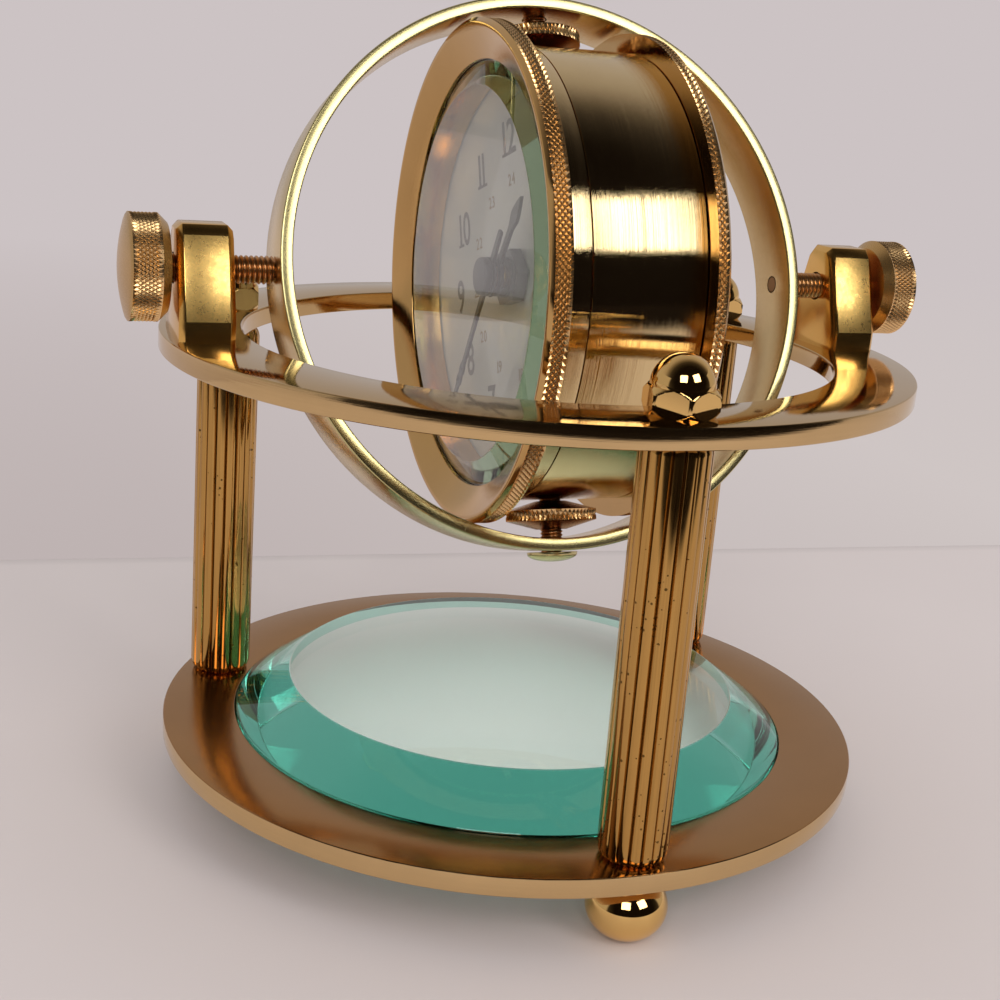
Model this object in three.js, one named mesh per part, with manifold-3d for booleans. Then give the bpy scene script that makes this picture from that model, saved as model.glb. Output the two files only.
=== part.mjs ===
// Gimbal desk clock: a clock drum that turns in a tilting ring above a glass base on three reeded posts.
// Millimetres, +Z up, origin on the floor under the stand's axis, X along the ring's pivot axis.
import * as THREE from 'three';
import { mergeVertices } from 'three/addons/utils/BufferGeometryUtils.js';
import Module from 'manifold-3d';

// Fits
const seatGap = 0.2; // between pieces that rest on each other inside the turned drum
const slipGap = 0.25; // around a shaft, rod or pin in its hole
const turnGap = 0.3; // between pieces that turn past each other
const sweepGap = 0.6; // between the drum's furthest corner and the ring it turns in
const swingGap = 5.1; // between the gimbal ring and the top ring it swings through

// Stand rings
const topWidth = 17.3;
const postInset = 6.75;
const baseOverhang = 8.3;
const postToGlass = 0.8;
const ringThickness = 4.3;
const ringEdge = 0.4;
const postCount = 3;
const firstPostAngle = -90;

// Base glass
const glassLedge = 3.6;
const glassLedgeDepth = 2.2;
const glassRise = 8.7;
const glassBevel = 12;
const glassLip = 0.4;

// Feet
const footRadius = 8.25;
const footDrop = 5.5;
const footFlat = 3;
const rodIntoFoot = 6.5;

// Posts, tie rods and cap nuts
const postLength = 83.9;
const postRadius = 7;
const reedDepth = 0.55;
const reedCount = 18;
const postTaper = 1.1;
const postTaperLength = 2.2;
const rodRadius = 3.95;
const nutFlats = 12.7;
const nutHexHeight = 5.5;
const nutDomeRadius = 5.75;
const nutCornerCut = 0.5;
const nutTurn = 20;
const rodIntoNut = 8;

// Pivot blocks
const pivotRise = 13.6;
const blockInset = 2.05;
const blockWidth = 11.4;
const blockHeight = 22.9;
const blockDepth = 21.2;
const blockFootHeight = 4.4;
const blockShoulderHeight = 20.9;
const blockShoulderDepth = 10.4;
const blockTopDepth = 6.6;
const blockBevel = 1.4;
const blockBelow = 3;
const blockScrewRadius = 2.3;
const blockScrewHead = 4.4;
const blockScrewReach = 7.5;

// Thumbscrews and the pins they push
const studRadius = 3;
const knobRadius = 10.9;
const knobStandOff = 1.4;
const knobRim = 7.6;
const knobDome = 1.9;
const knobBevel = 1.8;
const studIntoKnob = 5;
const pinRadius = 1.7;
const pinIntoStud = 6;

// Gimbal ring
const gimbalTilt = 18.2;
const gimbalWall = 2.7;
const gimbalWidth = 15.3;
const gimbalEdge = 0.5;

// Pivot screws and lock nuts of the drum
const swivelRadius = 2.5;
const swivelHeadRadius = 5.65;
const swivelHeadHeight = 2.2;
const lockNutRadius = 9.9;
const lockNutRim = 2.4;
const lockNutBoss = 3.4;
const lockNutHeight = 6.2;

// Drum: distances along its axis are from the pivots, positive towards the dial
const caseRadius = 48.7;
const caseWall = 4.5;
const caseFront = 9;
const caseBack = 15.1;
const bezelOverhang = 4.7;
const bezelFront = 19.4;
const bezelRimBack = 15;
const bezelEdge = 0.8;
const bezelLand = 0.8;
const glassLap = 1.65;
const openingDepth = 3;
const openingLip = 0.7;
const spigotStep = 1.8;
const spigotWall = 1.3;
const rearOverhang = 4;
const rearBezelLength = 3.1;
const rearLipWidth = 4.7;
const rearLipThickness = 1.4;
const rearSpigotLength = 3.5;
const rearSpigotWall = 1.9;
const backCoverThickness = 1.4;

// Clock glass, gasket and dial
const crystalThickness = 4.4;
const crystalRim = 2.3;
const crystalBevel = 5;
const gasketThickness = 0.8;
const dialFront = 5.5;
const dialThickness = 1;
const dialHole = 4.6;
const dialRingWidth = 3;
const dialRingLip = 1.3;

// Hands
const hourReach = 21;
const hourTail = 5;
const hourWidth = 1.5;
const hourLeaf = 8;
const hourLeafWidth = 3.4;
const minuteReach = 35;
const minuteTail = 11.5;
const minuteWidth = 1.3;
const minuteLeaf = 11;
const minuteLeafWidth = 2.2;
const handThickness = 0.5;
const hourHandLift = 3.1;
const minuteHandLift = 4.3;
const handHub = 4.2;
const hourShown = 1;
const minuteAngle = 225;
const hourAngle = 30 * hourShown + minuteAngle / 12; // moves on with the minute hand
const handCapRadius = 4.1;
const handCapHeight = 1.4;

// Movement: depths are from its front face, positive towards the back
const movementCorner = 4;
const movementWall = 1.4;
const movementSplit = 7.8;
const movementDepth = 15.6;
const bushRadius = 4.2;
const bushLength = 3.4;
const dialNutFlats = 11;
const dialNutHeight = 1.6;
const hourPipeRadius = 2.4;
const hourPipeBore = 1.6;
const centreArbor = 1.2;
const centreHub = 2.6;
const trainArbor = 0.7;
const hourWheelGap = 0.6;
const minuteWheelGap = 0.4;
const centreWheelGap = 1.2;
const trainWheelGap = 0.7;
const statorGap = 1.2;
const minuteArborTail = 0.6;
const gearModule = 0.45;
const addendum = 0.6;
const dedendum = 1.3;
const wheelThickness = 0.8;
const pinionThickness = 1.3;
const centreTeeth = 48;
const thirdTeeth = 45;
const fourthTeeth = 36;
const stepTeeth = 30;
const pinionTeeth = 6;
const cannonTeeth = 10;
const minuteTeeth = 30;
const minutePinionTeeth = 8;
const hourTeeth = 32;
const settingTeeth = 10;
const thirdHeading = 60;
const fourthHeading = 150;
const stepHeading = 200;
const rotorHeading = 120;
const minuteHeading = -20;
const settingHeading = -10;
const settingArbor = 1;
const settingKnobRadius = 5;
const settingKnobHeight = 3;
const rotorRadius = 3;
const rotorHeight = 1.9;
const statorHole = 3.4;
const statorThickness = 0.8;
const statorHalf = 5.1;
const coreWidth = 3;
const coreEnd = 19;
const coilStart = -6;
const coilEnd = 16;
const coilWidth = 5.2;
const coilHeight = 2.2;
const batteryRadius = 7.25;
const batteryLength = 49.5;
const batteryPole = 2.6;
const batteryPoleLength = 1;
const contactThickness = 1;
const contactGap = 0.55;
const contactSide = 9;
const boardWidth = 17;
const boardHeight = 11;
const boardThickness = 0.8;
const boardX = 16.5;
const boardY = 7.5;

// Roundness of the facets
const ringFacets = 48;
const drumFacets = 48;
const knobFacets = 32;
const smallFacets = 20;
const holeFacets = 12;

// Radii of the drum, and of the rings round it, from the case outwards and inwards
const caseBore = caseRadius - caseWall;
const spigotRadius = caseRadius - spigotStep;
const spigotBore = spigotRadius - spigotWall;
const openingRadius = spigotRadius - glassLap;
const dialRingInner = spigotBore - dialRingWidth;
const dialRingMouth = spigotBore - dialRingLip;
const bezelRadius = caseRadius + bezelOverhang;
const rearBezelRadius = caseRadius + rearOverhang;
const rearLipRadius = caseBore - rearLipWidth;
const bezelCorner = Math.hypot(bezelRadius, bezelFront - bezelEdge);
const gimbalInner = bezelCorner + sweepGap;
const gimbalOuter = gimbalInner + gimbalWall;
const topInner = gimbalOuter + swingGap;
const topRadius = topInner + topWidth;
const postCircle = topInner + postInset;
const baseRadius = postCircle + baseOverhang;
const baseInner = postCircle - postRadius - postToGlass;
const blockInner = topRadius - blockInset - blockWidth;

// Levels that follow from the sizes above
const footCentre = Math.sqrt(footRadius ** 2 - footFlat ** 2);
const baseBottom = footCentre + footDrop;
const baseTop = baseBottom + ringThickness;
const topBottom = baseTop + postLength;
const topTop = topBottom + ringThickness;
const pivotHeight = topTop + pivotRise;
const rodHole = rodRadius + slipGap;
const knobInner = blockInner + blockWidth + knobStandOff;
const studInner = gimbalOuter + turnGap;

const wasm = await Module();
wasm.setup();

function signedVolume(points, corners) {
  const [a, b, c] = [new THREE.Vector3(), new THREE.Vector3(), new THREE.Vector3()];
  let total = 0;
  for (let i = 0; i < corners.length; i += 3) {
    a.fromArray(points, 3 * corners[i]);
    b.fromArray(points, 3 * corners[i + 1]);
    c.fromArray(points, 3 * corners[i + 2]);
    total += a.dot(b.cross(c)) / 6;
  }
  return total;
}

// A closed solid from a geometry, its faces turned outwards
function solid(geometry) {
  const plain = geometry.clone();
  plain.deleteAttribute('normal');
  plain.deleteAttribute('uv');
  const welded = mergeVertices(plain, 1e-4);
  const points = welded.attributes.position.array;
  const corners = [];
  for (let i = 0; i < welded.index.count; i += 3) {
    const a = welded.index.getX(i);
    const b = welded.index.getX(i + 1);
    const c = welded.index.getX(i + 2);
    if (a !== b && b !== c && c !== a) corners.push(a, b, c);
  }
  if (signedVolume(points, corners) < 0) corners.reverse();
  const faces = { numProp: 3, vertProperties: points, triVerts: new Uint32Array(corners) };
  return new wasm.Manifold(new wasm.Mesh(faces));
}

function geometryOf(body) {
  const mesh = body.getMesh();
  const geometry = new THREE.BufferGeometry();
  geometry.setAttribute('position', new THREE.BufferAttribute(mesh.vertProperties, 3));
  geometry.setIndex(new THREE.BufferAttribute(mesh.triVerts, 1));
  geometry.computeVertexNormals();
  return geometry;
}

// A body of revolution about Z from an outline of [radius, height] pairs
function turned(outline, facets) {
  const points = outline.map(([radius, height]) => new THREE.Vector2(radius, height));
  return solid(new THREE.LatheGeometry(points, facets).rotateX(Math.PI / 2));
}

// A tube-like body of revolution whose outline closes on itself
function turnedRing(outline, facets) {
  return turned([...outline, outline[0]], facets);
}

function rod(radius, low, high, facets) {
  return turned([[0, low], [radius, low], [radius, high], [0, high]], facets);
}

function slab(width, depth, low, high) {
  return solid(new THREE.BoxGeometry(width, depth, high - low).translate(0, 0, (low + high) / 2));
}

function prism(shape, low, high) {
  const settings = { depth: high - low, bevelEnabled: false, curveSegments: 4 };
  return solid(new THREE.ExtrudeGeometry(shape, settings).translate(0, 0, low));
}

function polygon(sides, radius, turn) {
  const shape = new THREE.Shape();
  for (let i = 0; i < sides; i += 1) {
    const angle = turn + (2 * Math.PI * i) / sides;
    const point = new THREE.Vector2(radius * Math.cos(angle), radius * Math.sin(angle));
    if (i === 0) shape.moveTo(point.x, point.y);
    else shape.lineTo(point.x, point.y);
  }
  return shape;
}

// A body moved by a matrix of its own
function placed(body, matrix) {
  return solid(geometryOf(body).applyMatrix4(matrix));
}

function shifted(body, x, y, z) {
  return placed(body, new THREE.Matrix4().makeTranslation(x, y, z));
}

const alongX = new THREE.Matrix4().makeRotationY(Math.PI / 2);
const alongY = new THREE.Matrix4().makeRotationX(-Math.PI / 2);

// Finishes
const satinBrass = { color: 0xb08d5f, roughness: 0.38, metalness: 1 };
const polishedBrass = { color: 0xc29a55, roughness: 0.12, metalness: 1 };
const knurledBrass = { color: 0xb8895a, roughness: 0.3, metalness: 1 };
const goldBrass = { color: 0xc7a052, roughness: 0.3, metalness: 1 };
const threadedBrass = { color: 0xa06a42, roughness: 0.35, metalness: 1 };
const greenGlass = { color: 0x8fcfbd, roughness: 0.03, metalness: 0 };
const clearGlass = { color: 0xcfe0d8, roughness: 0.03, metalness: 0 };
const blackRubber = { color: 0x1b1d1c, roughness: 0.8, metalness: 0 };
const paleDial = { color: 0xc9c5bf, roughness: 0.6, metalness: 0 };
const greySteel = { color: 0x4b4c50, roughness: 0.4, metalness: 0.8 };
const blackPlastic = { color: 0x1d1d1f, roughness: 0.55, metalness: 0 };
const steel = { color: 0x9a9a98, roughness: 0.35, metalness: 1 };
const copper = { color: 0xa8582c, roughness: 0.4, metalness: 1 };
const greenBoard = { color: 0x2f6b3c, roughness: 0.6, metalness: 0 };
const batteryFoil = { color: 0x6d7076, roughness: 0.35, metalness: 0.9 };

const clock = new THREE.Group();
clock.name = 'gimbal_desk_clock';

function add(parent, name, body, finish) {
  const mesh = new THREE.Mesh(geometryOf(body), new THREE.MeshStandardMaterial(finish));
  mesh.name = name;
  parent.add(mesh);
  return mesh;
}

const posts = [];
for (let i = 0; i < postCount; i += 1) {
  const angle = THREE.MathUtils.degToRad(firstPostAngle + (360 * i) / postCount);
  const side = ['front', 'right', 'left'][i];
  posts.push({ side, x: postCircle * Math.cos(angle), y: postCircle * Math.sin(angle) });
}

// Base ring: a flat ring with a ledge for the glass and a hole at each post
function outerEdge(radius) {
  return [
    [radius - ringEdge, 0],
    [radius, ringEdge],
    [radius, ringThickness - ringEdge],
    [radius - ringEdge, ringThickness],
  ];
}

const ledgeHeight = ringThickness - glassLedgeDepth;
const ledgeRadius = baseInner - glassLedge;
const ledgeOutline = [
  [ledgeRadius, 0],
  ...outerEdge(baseRadius),
  [baseInner, ringThickness],
  [baseInner, ledgeHeight],
  [ledgeRadius, ledgeHeight],
];
let baseRing = turnedRing(ledgeOutline, ringFacets);
let topRing = turnedRing([[topInner, 0], ...outerEdge(topRadius), [topInner, ringThickness]], ringFacets);
for (const { x, y } of posts) {
  const hole = shifted(rod(rodHole, -1, ringThickness + 1, holeFacets), x, y, 0);
  baseRing = baseRing.subtract(hole);
  topRing = topRing.subtract(hole);
}
add(clock, 'base_ring', baseRing, satinBrass).position.z = baseBottom;

// Base glass: a thick disc with a wide polished bevel, lying on the ledge
const glassRadius = baseInner - turnGap;
const glassOutline = [
  [0, 0],
  [glassRadius, 0],
  [glassRadius, glassLedgeDepth + glassLip],
  [glassRadius - glassBevel, glassLedgeDepth + glassRise],
  [0, glassLedgeDepth + glassRise],
];
add(clock, 'base_glass', turned(glassOutline, ringFacets), greenGlass).position.z = baseBottom + ledgeHeight;

// Foot: a ball, flat where it stands and where it meets the ring, bored for its rod
function makeFoot() {
  const rings = 7;
  const low = -Math.acos(footFlat / footRadius);
  const high = Math.asin(footDrop / footRadius);
  const outline = [[0, 0]];
  for (let i = 0; i <= rings; i += 1) {
    const angle = low + ((high - low) * i) / rings;
    outline.push([footRadius * Math.cos(angle), footCentre + footRadius * Math.sin(angle)]);
  }
  outline.push([0, baseBottom]);
  const bore = rod(rodHole, baseBottom - rodIntoFoot - turnGap, baseBottom + 1, holeFacets);
  return turned(outline, smallFacets).subtract(bore);
}

// Post: a reeded column, its ends tapered, bored for its rod
function makePost() {
  const steps = 3;
  const shape = new THREE.Shape();
  for (let i = 0; i < reedCount * steps; i += 1) {
    const angle = (2 * Math.PI * i) / (reedCount * steps);
    const radius = i % steps === 0 ? postRadius - reedDepth : postRadius;
    const point = new THREE.Vector2(radius * Math.cos(angle), radius * Math.sin(angle));
    if (i === 0) shape.moveTo(point.x, point.y);
    else shape.lineTo(point.x, point.y);
  }
  const end = postRadius - postTaper;
  const tapered = [
    [0, 0],
    [end, 0],
    [postRadius + seatGap, postTaperLength],
    [postRadius + seatGap, postLength - postTaperLength],
    [end, postLength],
    [0, postLength],
  ];
  const reeded = prism(shape, 0, postLength).intersect(turned(tapered, smallFacets));
  return reeded.subtract(rod(rodHole, -1, postLength + 1, holeFacets));
}

// Cap nut: a hexagon with cut corners under a dome, bored from below
function makeCapNut() {
  const corner = nutFlats / Math.sqrt(3);
  const cut = [
    [0, 0],
    [corner - nutCornerCut, 0],
    [corner, nutCornerCut],
    [corner, nutHexHeight - nutCornerCut],
    [corner - 2 * nutCornerCut, nutHexHeight],
    [0, nutHexHeight],
  ];
  const sixSided = polygon(6, corner, THREE.MathUtils.degToRad(nutTurn));
  const hex = prism(sixSided, 0, nutHexHeight).intersect(turned(cut, smallFacets));
  const rings = 5;
  const dome = [[0, nutHexHeight / 2], [nutDomeRadius, nutHexHeight / 2]];
  for (let i = 0; i <= rings; i += 1) {
    const angle = (Math.PI * i) / (2 * rings);
    dome.push([nutDomeRadius * Math.cos(angle), nutHexHeight + nutDomeRadius * Math.sin(angle)]);
  }
  dome[dome.length - 1][0] = 0;
  const bore = rod(rodHole, -1, rodIntoNut + turnGap, holeFacets);
  return hex.add(turned(dome, smallFacets)).subtract(bore);
}

const foot = makeFoot();
const post = makePost();
const capNut = makeCapNut();
const tieRod = rod(rodRadius, baseBottom - rodIntoFoot, topTop + rodIntoNut, holeFacets);
for (const { side, x, y } of posts) {
  add(clock, `foot_${side}`, foot, polishedBrass).position.set(x, y, 0);
  add(clock, `post_${side}`, post, goldBrass).position.set(x, y, baseTop);
  add(clock, `tie_rod_${side}`, tieRod, steel).position.set(x, y, 0);
  add(clock, `cap_nut_${side}`, capNut, polishedBrass).position.set(x, y, topTop);
}

// Pivot block: a tapered upright with bevelled ends, bored across for the stud and up for its screw
function makeBlock() {
  const shape = new THREE.Shape();
  shape.moveTo(-blockDepth / 2, -blockBelow);
  shape.lineTo(blockDepth / 2, -blockBelow);
  shape.lineTo(blockDepth / 2, blockFootHeight);
  shape.lineTo(blockShoulderDepth / 2, blockShoulderHeight);
  shape.lineTo(blockTopDepth / 2, blockHeight);
  shape.lineTo(-blockTopDepth / 2, blockHeight);
  shape.lineTo(-blockShoulderDepth / 2, blockShoulderHeight);
  shape.lineTo(-blockDepth / 2, blockFootHeight);
  const bevel = {
    depth: blockWidth - 2 * blockBevel,
    bevelThickness: blockBevel,
    bevelSize: blockBevel,
    bevelOffset: -blockBevel,
    bevelSegments: 1,
  };
  const upright = new THREE.ExtrudeGeometry(shape, bevel).translate(0, 0, blockBevel - blockWidth / 2);
  const axes = [new THREE.Vector3(0, 1, 0), new THREE.Vector3(0, 0, 1), new THREE.Vector3(1, 0, 0)];
  upright.applyMatrix4(new THREE.Matrix4().makeBasis(...axes));
  const keep = slab(2 * blockWidth, 2 * blockDepth, 0, 2 * blockHeight);
  const cross = placed(rod(studRadius + slipGap, -blockWidth, blockWidth, smallFacets), alongX);
  const tapped = rod(blockScrewRadius + slipGap, -1, blockScrewReach + turnGap, holeFacets);
  return solid(upright).intersect(keep).subtract(shifted(cross, 0, 0, pivotRise)).subtract(tapped);
}

// Block screw: a countersunk screw, its head flush with the underside of the top ring
function makeBlockScrew(gap, length) {
  const sink = blockScrewHead - blockScrewRadius;
  return turned([
    [0, 0],
    [blockScrewHead + gap, 0],
    [blockScrewRadius + gap, sink],
    [blockScrewRadius + gap, length],
    [0, length],
  ], holeFacets);
}

const blockCentre = blockInner + blockWidth / 2;
const sides = [{ side: 'left', sign: -1 }, { side: 'right', sign: 1 }];
for (const { sign } of sides) {
  const mouth = rod(blockScrewHead + slipGap, -1, seatGap, holeFacets);
  const sunk = makeBlockScrew(slipGap, ringThickness + 1).add(mouth);
  topRing = topRing.subtract(shifted(sunk, sign * blockCentre, 0, 0));
}
add(clock, 'top_ring', topRing, satinBrass).position.z = topBottom;
const block = makeBlock();
const blockScrew = makeBlockScrew(0, ringThickness + blockScrewReach);
for (const { side, sign } of sides) {
  add(clock, `pivot_block_${side}`, block, goldBrass).position.set(sign * blockCentre, 0, topTop);
  add(clock, `block_screw_${side}`, blockScrew, steel).position.set(sign * blockCentre, 0, topBottom);
}

// Thumbscrews: knob, stud and pin on each side, along the pivot axis and outwards
const knobRings = 4;
const knobOutline = [[0, 0], [knobRadius - knobBevel, 0], [knobRadius, knobBevel], [knobRadius, knobRim]];
for (let i = 1; i <= knobRings; i += 1) {
  const share = i / knobRings;
  knobOutline.push([knobRadius * (1 - share), knobRim + knobDome * (1 - (1 - share) ** 2)]);
}
const knobBore = rod(studRadius + slipGap, -1, studIntoKnob + turnGap, holeFacets);
const knob = turned(knobOutline, knobFacets).subtract(knobBore);
const pinBore = rod(pinRadius + slipGap, studInner - 1, studInner + pinIntoStud + turnGap, holeFacets);
const stud = rod(studRadius, studInner, knobInner + studIntoKnob, smallFacets).subtract(pinBore);
const pin = rod(pinRadius, gimbalInner, studInner + pinIntoStud, holeFacets);
for (const { side, sign } of sides) {
  const screw = new THREE.Group();
  screw.position.z = pivotHeight;
  screw.rotation.y = (sign * Math.PI) / 2;
  clock.add(screw);
  add(screw, `thumbscrew_knob_${side}`, knob, knurledBrass).position.z = knobInner;
  add(screw, `thumbscrew_stud_${side}`, stud, threadedBrass);
  add(screw, `pivot_pin_${side}`, pin, steel);
}

// Everything that tilts on the pivot pins: Z is up the ring, Y through it
const tilting = new THREE.Group();
tilting.position.z = pivotHeight;
tilting.rotation.x = -THREE.MathUtils.degToRad(gimbalTilt);
clock.add(tilting);

// Gimbal ring: a flat band with softened edges, drilled for the pins and the pivot screws
const gimbalHalf = gimbalWidth / 2;
const gimbalOutline = [
  [gimbalInner, gimbalEdge - gimbalHalf],
  [gimbalInner + gimbalEdge, -gimbalHalf],
  [gimbalOuter - gimbalEdge, -gimbalHalf],
  [gimbalOuter, gimbalEdge - gimbalHalf],
  [gimbalOuter, gimbalHalf - gimbalEdge],
  [gimbalOuter - gimbalEdge, gimbalHalf],
  [gimbalInner + gimbalEdge, gimbalHalf],
  [gimbalInner, gimbalHalf - gimbalEdge],
];
const pinHole = placed(rod(pinRadius + slipGap, -topRadius, topRadius, holeFacets), alongX);
const swivelHole = rod(swivelRadius + slipGap, -topRadius, topRadius, holeFacets);
const band = placed(turnedRing(gimbalOutline, ringFacets), alongY);
add(tilting, 'gimbal_ring', band.subtract(pinHole).subtract(swivelHole), satinBrass);

// Pivot screws with domed heads outside the ring, and a knurled lock nut on each against the drum
const headSeat = gimbalOuter + turnGap;
const swivelOutline = [[0, caseBore + seatGap], [swivelRadius, caseBore + seatGap], [swivelRadius, headSeat]];
const headRings = 4;
for (let i = 0; i <= headRings; i += 1) {
  const angle = (Math.PI * i) / (2 * headRings);
  const height = headSeat + swivelHeadHeight * Math.sin(angle);
  swivelOutline.push([i === headRings ? 0 : swivelHeadRadius * Math.cos(angle), height]);
}
const nutSeat = caseRadius + turnGap;
const nutMiddle = nutSeat + lockNutHeight / 2;
const lockNutOutline = [
  [swivelRadius + slipGap, nutSeat],
  [lockNutBoss, nutSeat],
  [lockNutRadius, nutMiddle - lockNutRim / 2],
  [lockNutRadius, nutMiddle + lockNutRim / 2],
  [lockNutBoss, nutSeat + lockNutHeight],
  [swivelRadius + slipGap, nutSeat + lockNutHeight],
];
const swivel = turned(swivelOutline, smallFacets);
const lockNut = turnedRing(lockNutOutline, knobFacets);
for (const { side, turn } of [{ side: 'upper', turn: 0 }, { side: 'lower', turn: Math.PI }]) {
  add(tilting, `pivot_screw_${side}`, swivel, polishedBrass).rotation.x = turn;
  add(tilting, `lock_nut_${side}`, lockNut, knurledBrass).rotation.x = turn;
}

// The drum lies across the ring: its own Z is its axis to the dial, its Y is up, its X is at three o'clock
const drum = new THREE.Group();
const drumAxes = [new THREE.Vector3(0, -1, 0), new THREE.Vector3(0, 0, 1), new THREE.Vector3(-1, 0, 0)];
drum.quaternion.setFromRotationMatrix(new THREE.Matrix4().makeBasis(...drumAxes));
tilting.add(drum);

// Case: a tube with a ledge for the dial, a front spigot for the bezel and a hole for each pivot screw
const lipBack = bezelFront - openingDepth - openingLip;
const crystalBack = lipBack - seatGap - crystalRim;
const gasketFront = crystalBack - seatGap;
const spigotEnd = gasketFront - gasketThickness - seatGap;
const dialLedge = dialFront - dialThickness - seatGap;
const caseOutline = [
  [caseBore, -caseBack],
  [caseRadius, -caseBack],
  [caseRadius, caseFront],
  [spigotRadius, caseFront],
  [spigotRadius, spigotEnd],
  [spigotBore, spigotEnd],
  [spigotBore, dialLedge],
  [caseBore, dialLedge],
];
const screwHoles = placed(rod(swivelRadius + slipGap, -topRadius, topRadius, holeFacets), alongY);
add(drum, 'case_tube', turnedRing(caseOutline, drumFacets).subtract(screwHoles), polishedBrass);

// Front bezel: a skirt over the spigot, a knurled rim and a funnel down to the glass
const bezelOutline = [
  [spigotRadius + turnGap, caseFront + turnGap],
  [caseRadius, caseFront + turnGap],
  [caseRadius, bezelRimBack],
  [bezelRadius, bezelRimBack],
  [bezelRadius, bezelFront - bezelEdge],
  [bezelRadius - bezelEdge, bezelFront],
  [bezelRadius - bezelEdge - bezelLand, bezelFront],
  [openingRadius, bezelFront - openingDepth],
  [openingRadius, lipBack],
  [spigotRadius + turnGap, lipBack],
];
add(drum, 'front_bezel', turnedRing(bezelOutline, drumFacets), knurledBrass);

// Clock glass with a bevelled edge, and the gasket under it
const crystalRadius = spigotRadius;
const crystalOutline = [
  [0, crystalBack],
  [crystalRadius, crystalBack],
  [crystalRadius, crystalBack + crystalRim],
  [openingRadius - turnGap, crystalBack + crystalRim],
  [openingRadius - turnGap - crystalBevel, crystalBack + crystalThickness],
  [0, crystalBack + crystalThickness],
];
add(drum, 'clock_glass', turned(crystalOutline, drumFacets), clearGlass);
const gasketOutline = [
  [spigotBore, gasketFront - gasketThickness],
  [spigotRadius, gasketFront - gasketThickness],
  [spigotRadius, gasketFront],
  [spigotBore, gasketFront],
];
add(drum, 'glass_gasket', turnedRing(gasketOutline, drumFacets), blackRubber);

// Dial on its ledge, and the ring that keeps it there
const dialRadius = spigotBore - slipGap;
const dialBack = dialFront - dialThickness;
const dialOutline = [
  [dialHole, dialBack],
  [dialRadius, dialBack],
  [dialRadius, dialFront],
  [dialHole, dialFront],
];
add(drum, 'dial', turnedRing(dialOutline, drumFacets), paleDial);
const dialRingOutline = [
  [dialRingInner, dialFront + seatGap],
  [dialRadius, dialFront + seatGap],
  [dialRadius, crystalBack - seatGap],
  [dialRingMouth, crystalBack - seatGap],
];
add(drum, 'dial_ring', turnedRing(dialRingOutline, drumFacets), paleDial);

// Rear bezel with its knurled rim and inner lip, and the cover that lies on the lip
const rearFlange = -caseBack - seatGap;
const rearEnd = rearFlange - rearBezelLength;
const rearSpigot = caseBore - turnGap;
const rearBezelOutline = [
  [rearSpigot - rearSpigotWall, rearFlange + rearSpigotLength],
  [rearSpigot, rearFlange + rearSpigotLength],
  [rearSpigot, rearFlange],
  [rearBezelRadius, rearFlange],
  [rearBezelRadius, rearEnd + bezelEdge],
  [rearBezelRadius - bezelEdge, rearEnd],
  [rearLipRadius, rearEnd],
  [rearLipRadius, rearEnd + rearLipThickness],
  [rearSpigot - rearSpigotWall, rearEnd + rearLipThickness],
];
add(drum, 'rear_bezel', turnedRing(rearBezelOutline, drumFacets), knurledBrass);
const coverBack = rearEnd + rearLipThickness + seatGap;
const coverRadius = rearSpigot - rearSpigotWall - turnGap;
add(drum, 'back_cover', rod(coverRadius, coverBack, coverBack + backCoverThickness, drumFacets), satinBrass);

// Hands: an hour hand with a leaf tip, a slim minute hand, and the cap over both
function handShape(reach, tail, width, leafWidth, leaf) {
  const leafStart = reach - leaf;
  const widest = leafStart + leaf / 3;
  const shape = new THREE.Shape();
  shape.moveTo(-width / 2, -tail);
  shape.lineTo(width / 2, -tail);
  shape.lineTo(width / 2, leafStart);
  shape.lineTo(leafWidth / 2, widest);
  shape.lineTo(0, reach);
  shape.lineTo(-leafWidth / 2, widest);
  shape.lineTo(-width / 2, leafStart);
  return shape;
}

function makeHand(shape, bore) {
  const blade = prism(shape, 0, handThickness).add(rod(handHub, 0, handThickness, smallFacets));
  return blade.subtract(rod(bore, -1, handThickness + 1, holeFacets));
}

const hourLevel = dialFront + hourHandLift;
const minuteLevel = dialFront + minuteHandLift;
const hourShape = handShape(hourReach, hourTail, hourWidth, hourLeafWidth, hourLeaf);
const minuteShape = handShape(minuteReach, minuteTail, minuteWidth, minuteLeafWidth, minuteLeaf);
const hourHand = makeHand(hourShape, hourPipeRadius + slipGap);
const minuteHand = makeHand(minuteShape, centreArbor + slipGap);
const hourMesh = add(drum, 'hour_hand', hourHand, greySteel);
hourMesh.position.z = hourLevel;
hourMesh.rotation.z = -THREE.MathUtils.degToRad(hourAngle);
const minuteMesh = add(drum, 'minute_hand', minuteHand, greySteel);
minuteMesh.position.z = minuteLevel;
minuteMesh.rotation.z = -THREE.MathUtils.degToRad(minuteAngle);
const capLevel = minuteLevel + handThickness + seatGap;
const capBore = rod(centreArbor + slipGap, -1, handCapHeight / 2, holeFacets);
const handCap = rod(handCapRadius, 0, handCapHeight, smallFacets).subtract(capBore);
add(drum, 'hand_cap', handCap, greySteel).position.z = capLevel;

// Movement, held to the dial by a nut on its bush: Z is still the drum's axis, zero at its front face
const movement = new THREE.Group();
const movementFront = dialBack - turnGap;
movement.position.z = movementFront;
drum.add(movement);

function roundedSquare(side, corner) {
  const half = side / 2 - corner;
  const shape = new THREE.Shape();
  shape.absarc(half, half, corner, 0, Math.PI / 2);
  shape.absarc(-half, half, corner, Math.PI / 2, Math.PI);
  shape.absarc(-half, -half, corner, Math.PI, (3 * Math.PI) / 2);
  shape.absarc(half, -half, corner, (3 * Math.PI) / 2, 2 * Math.PI);
  return shape;
}

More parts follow.
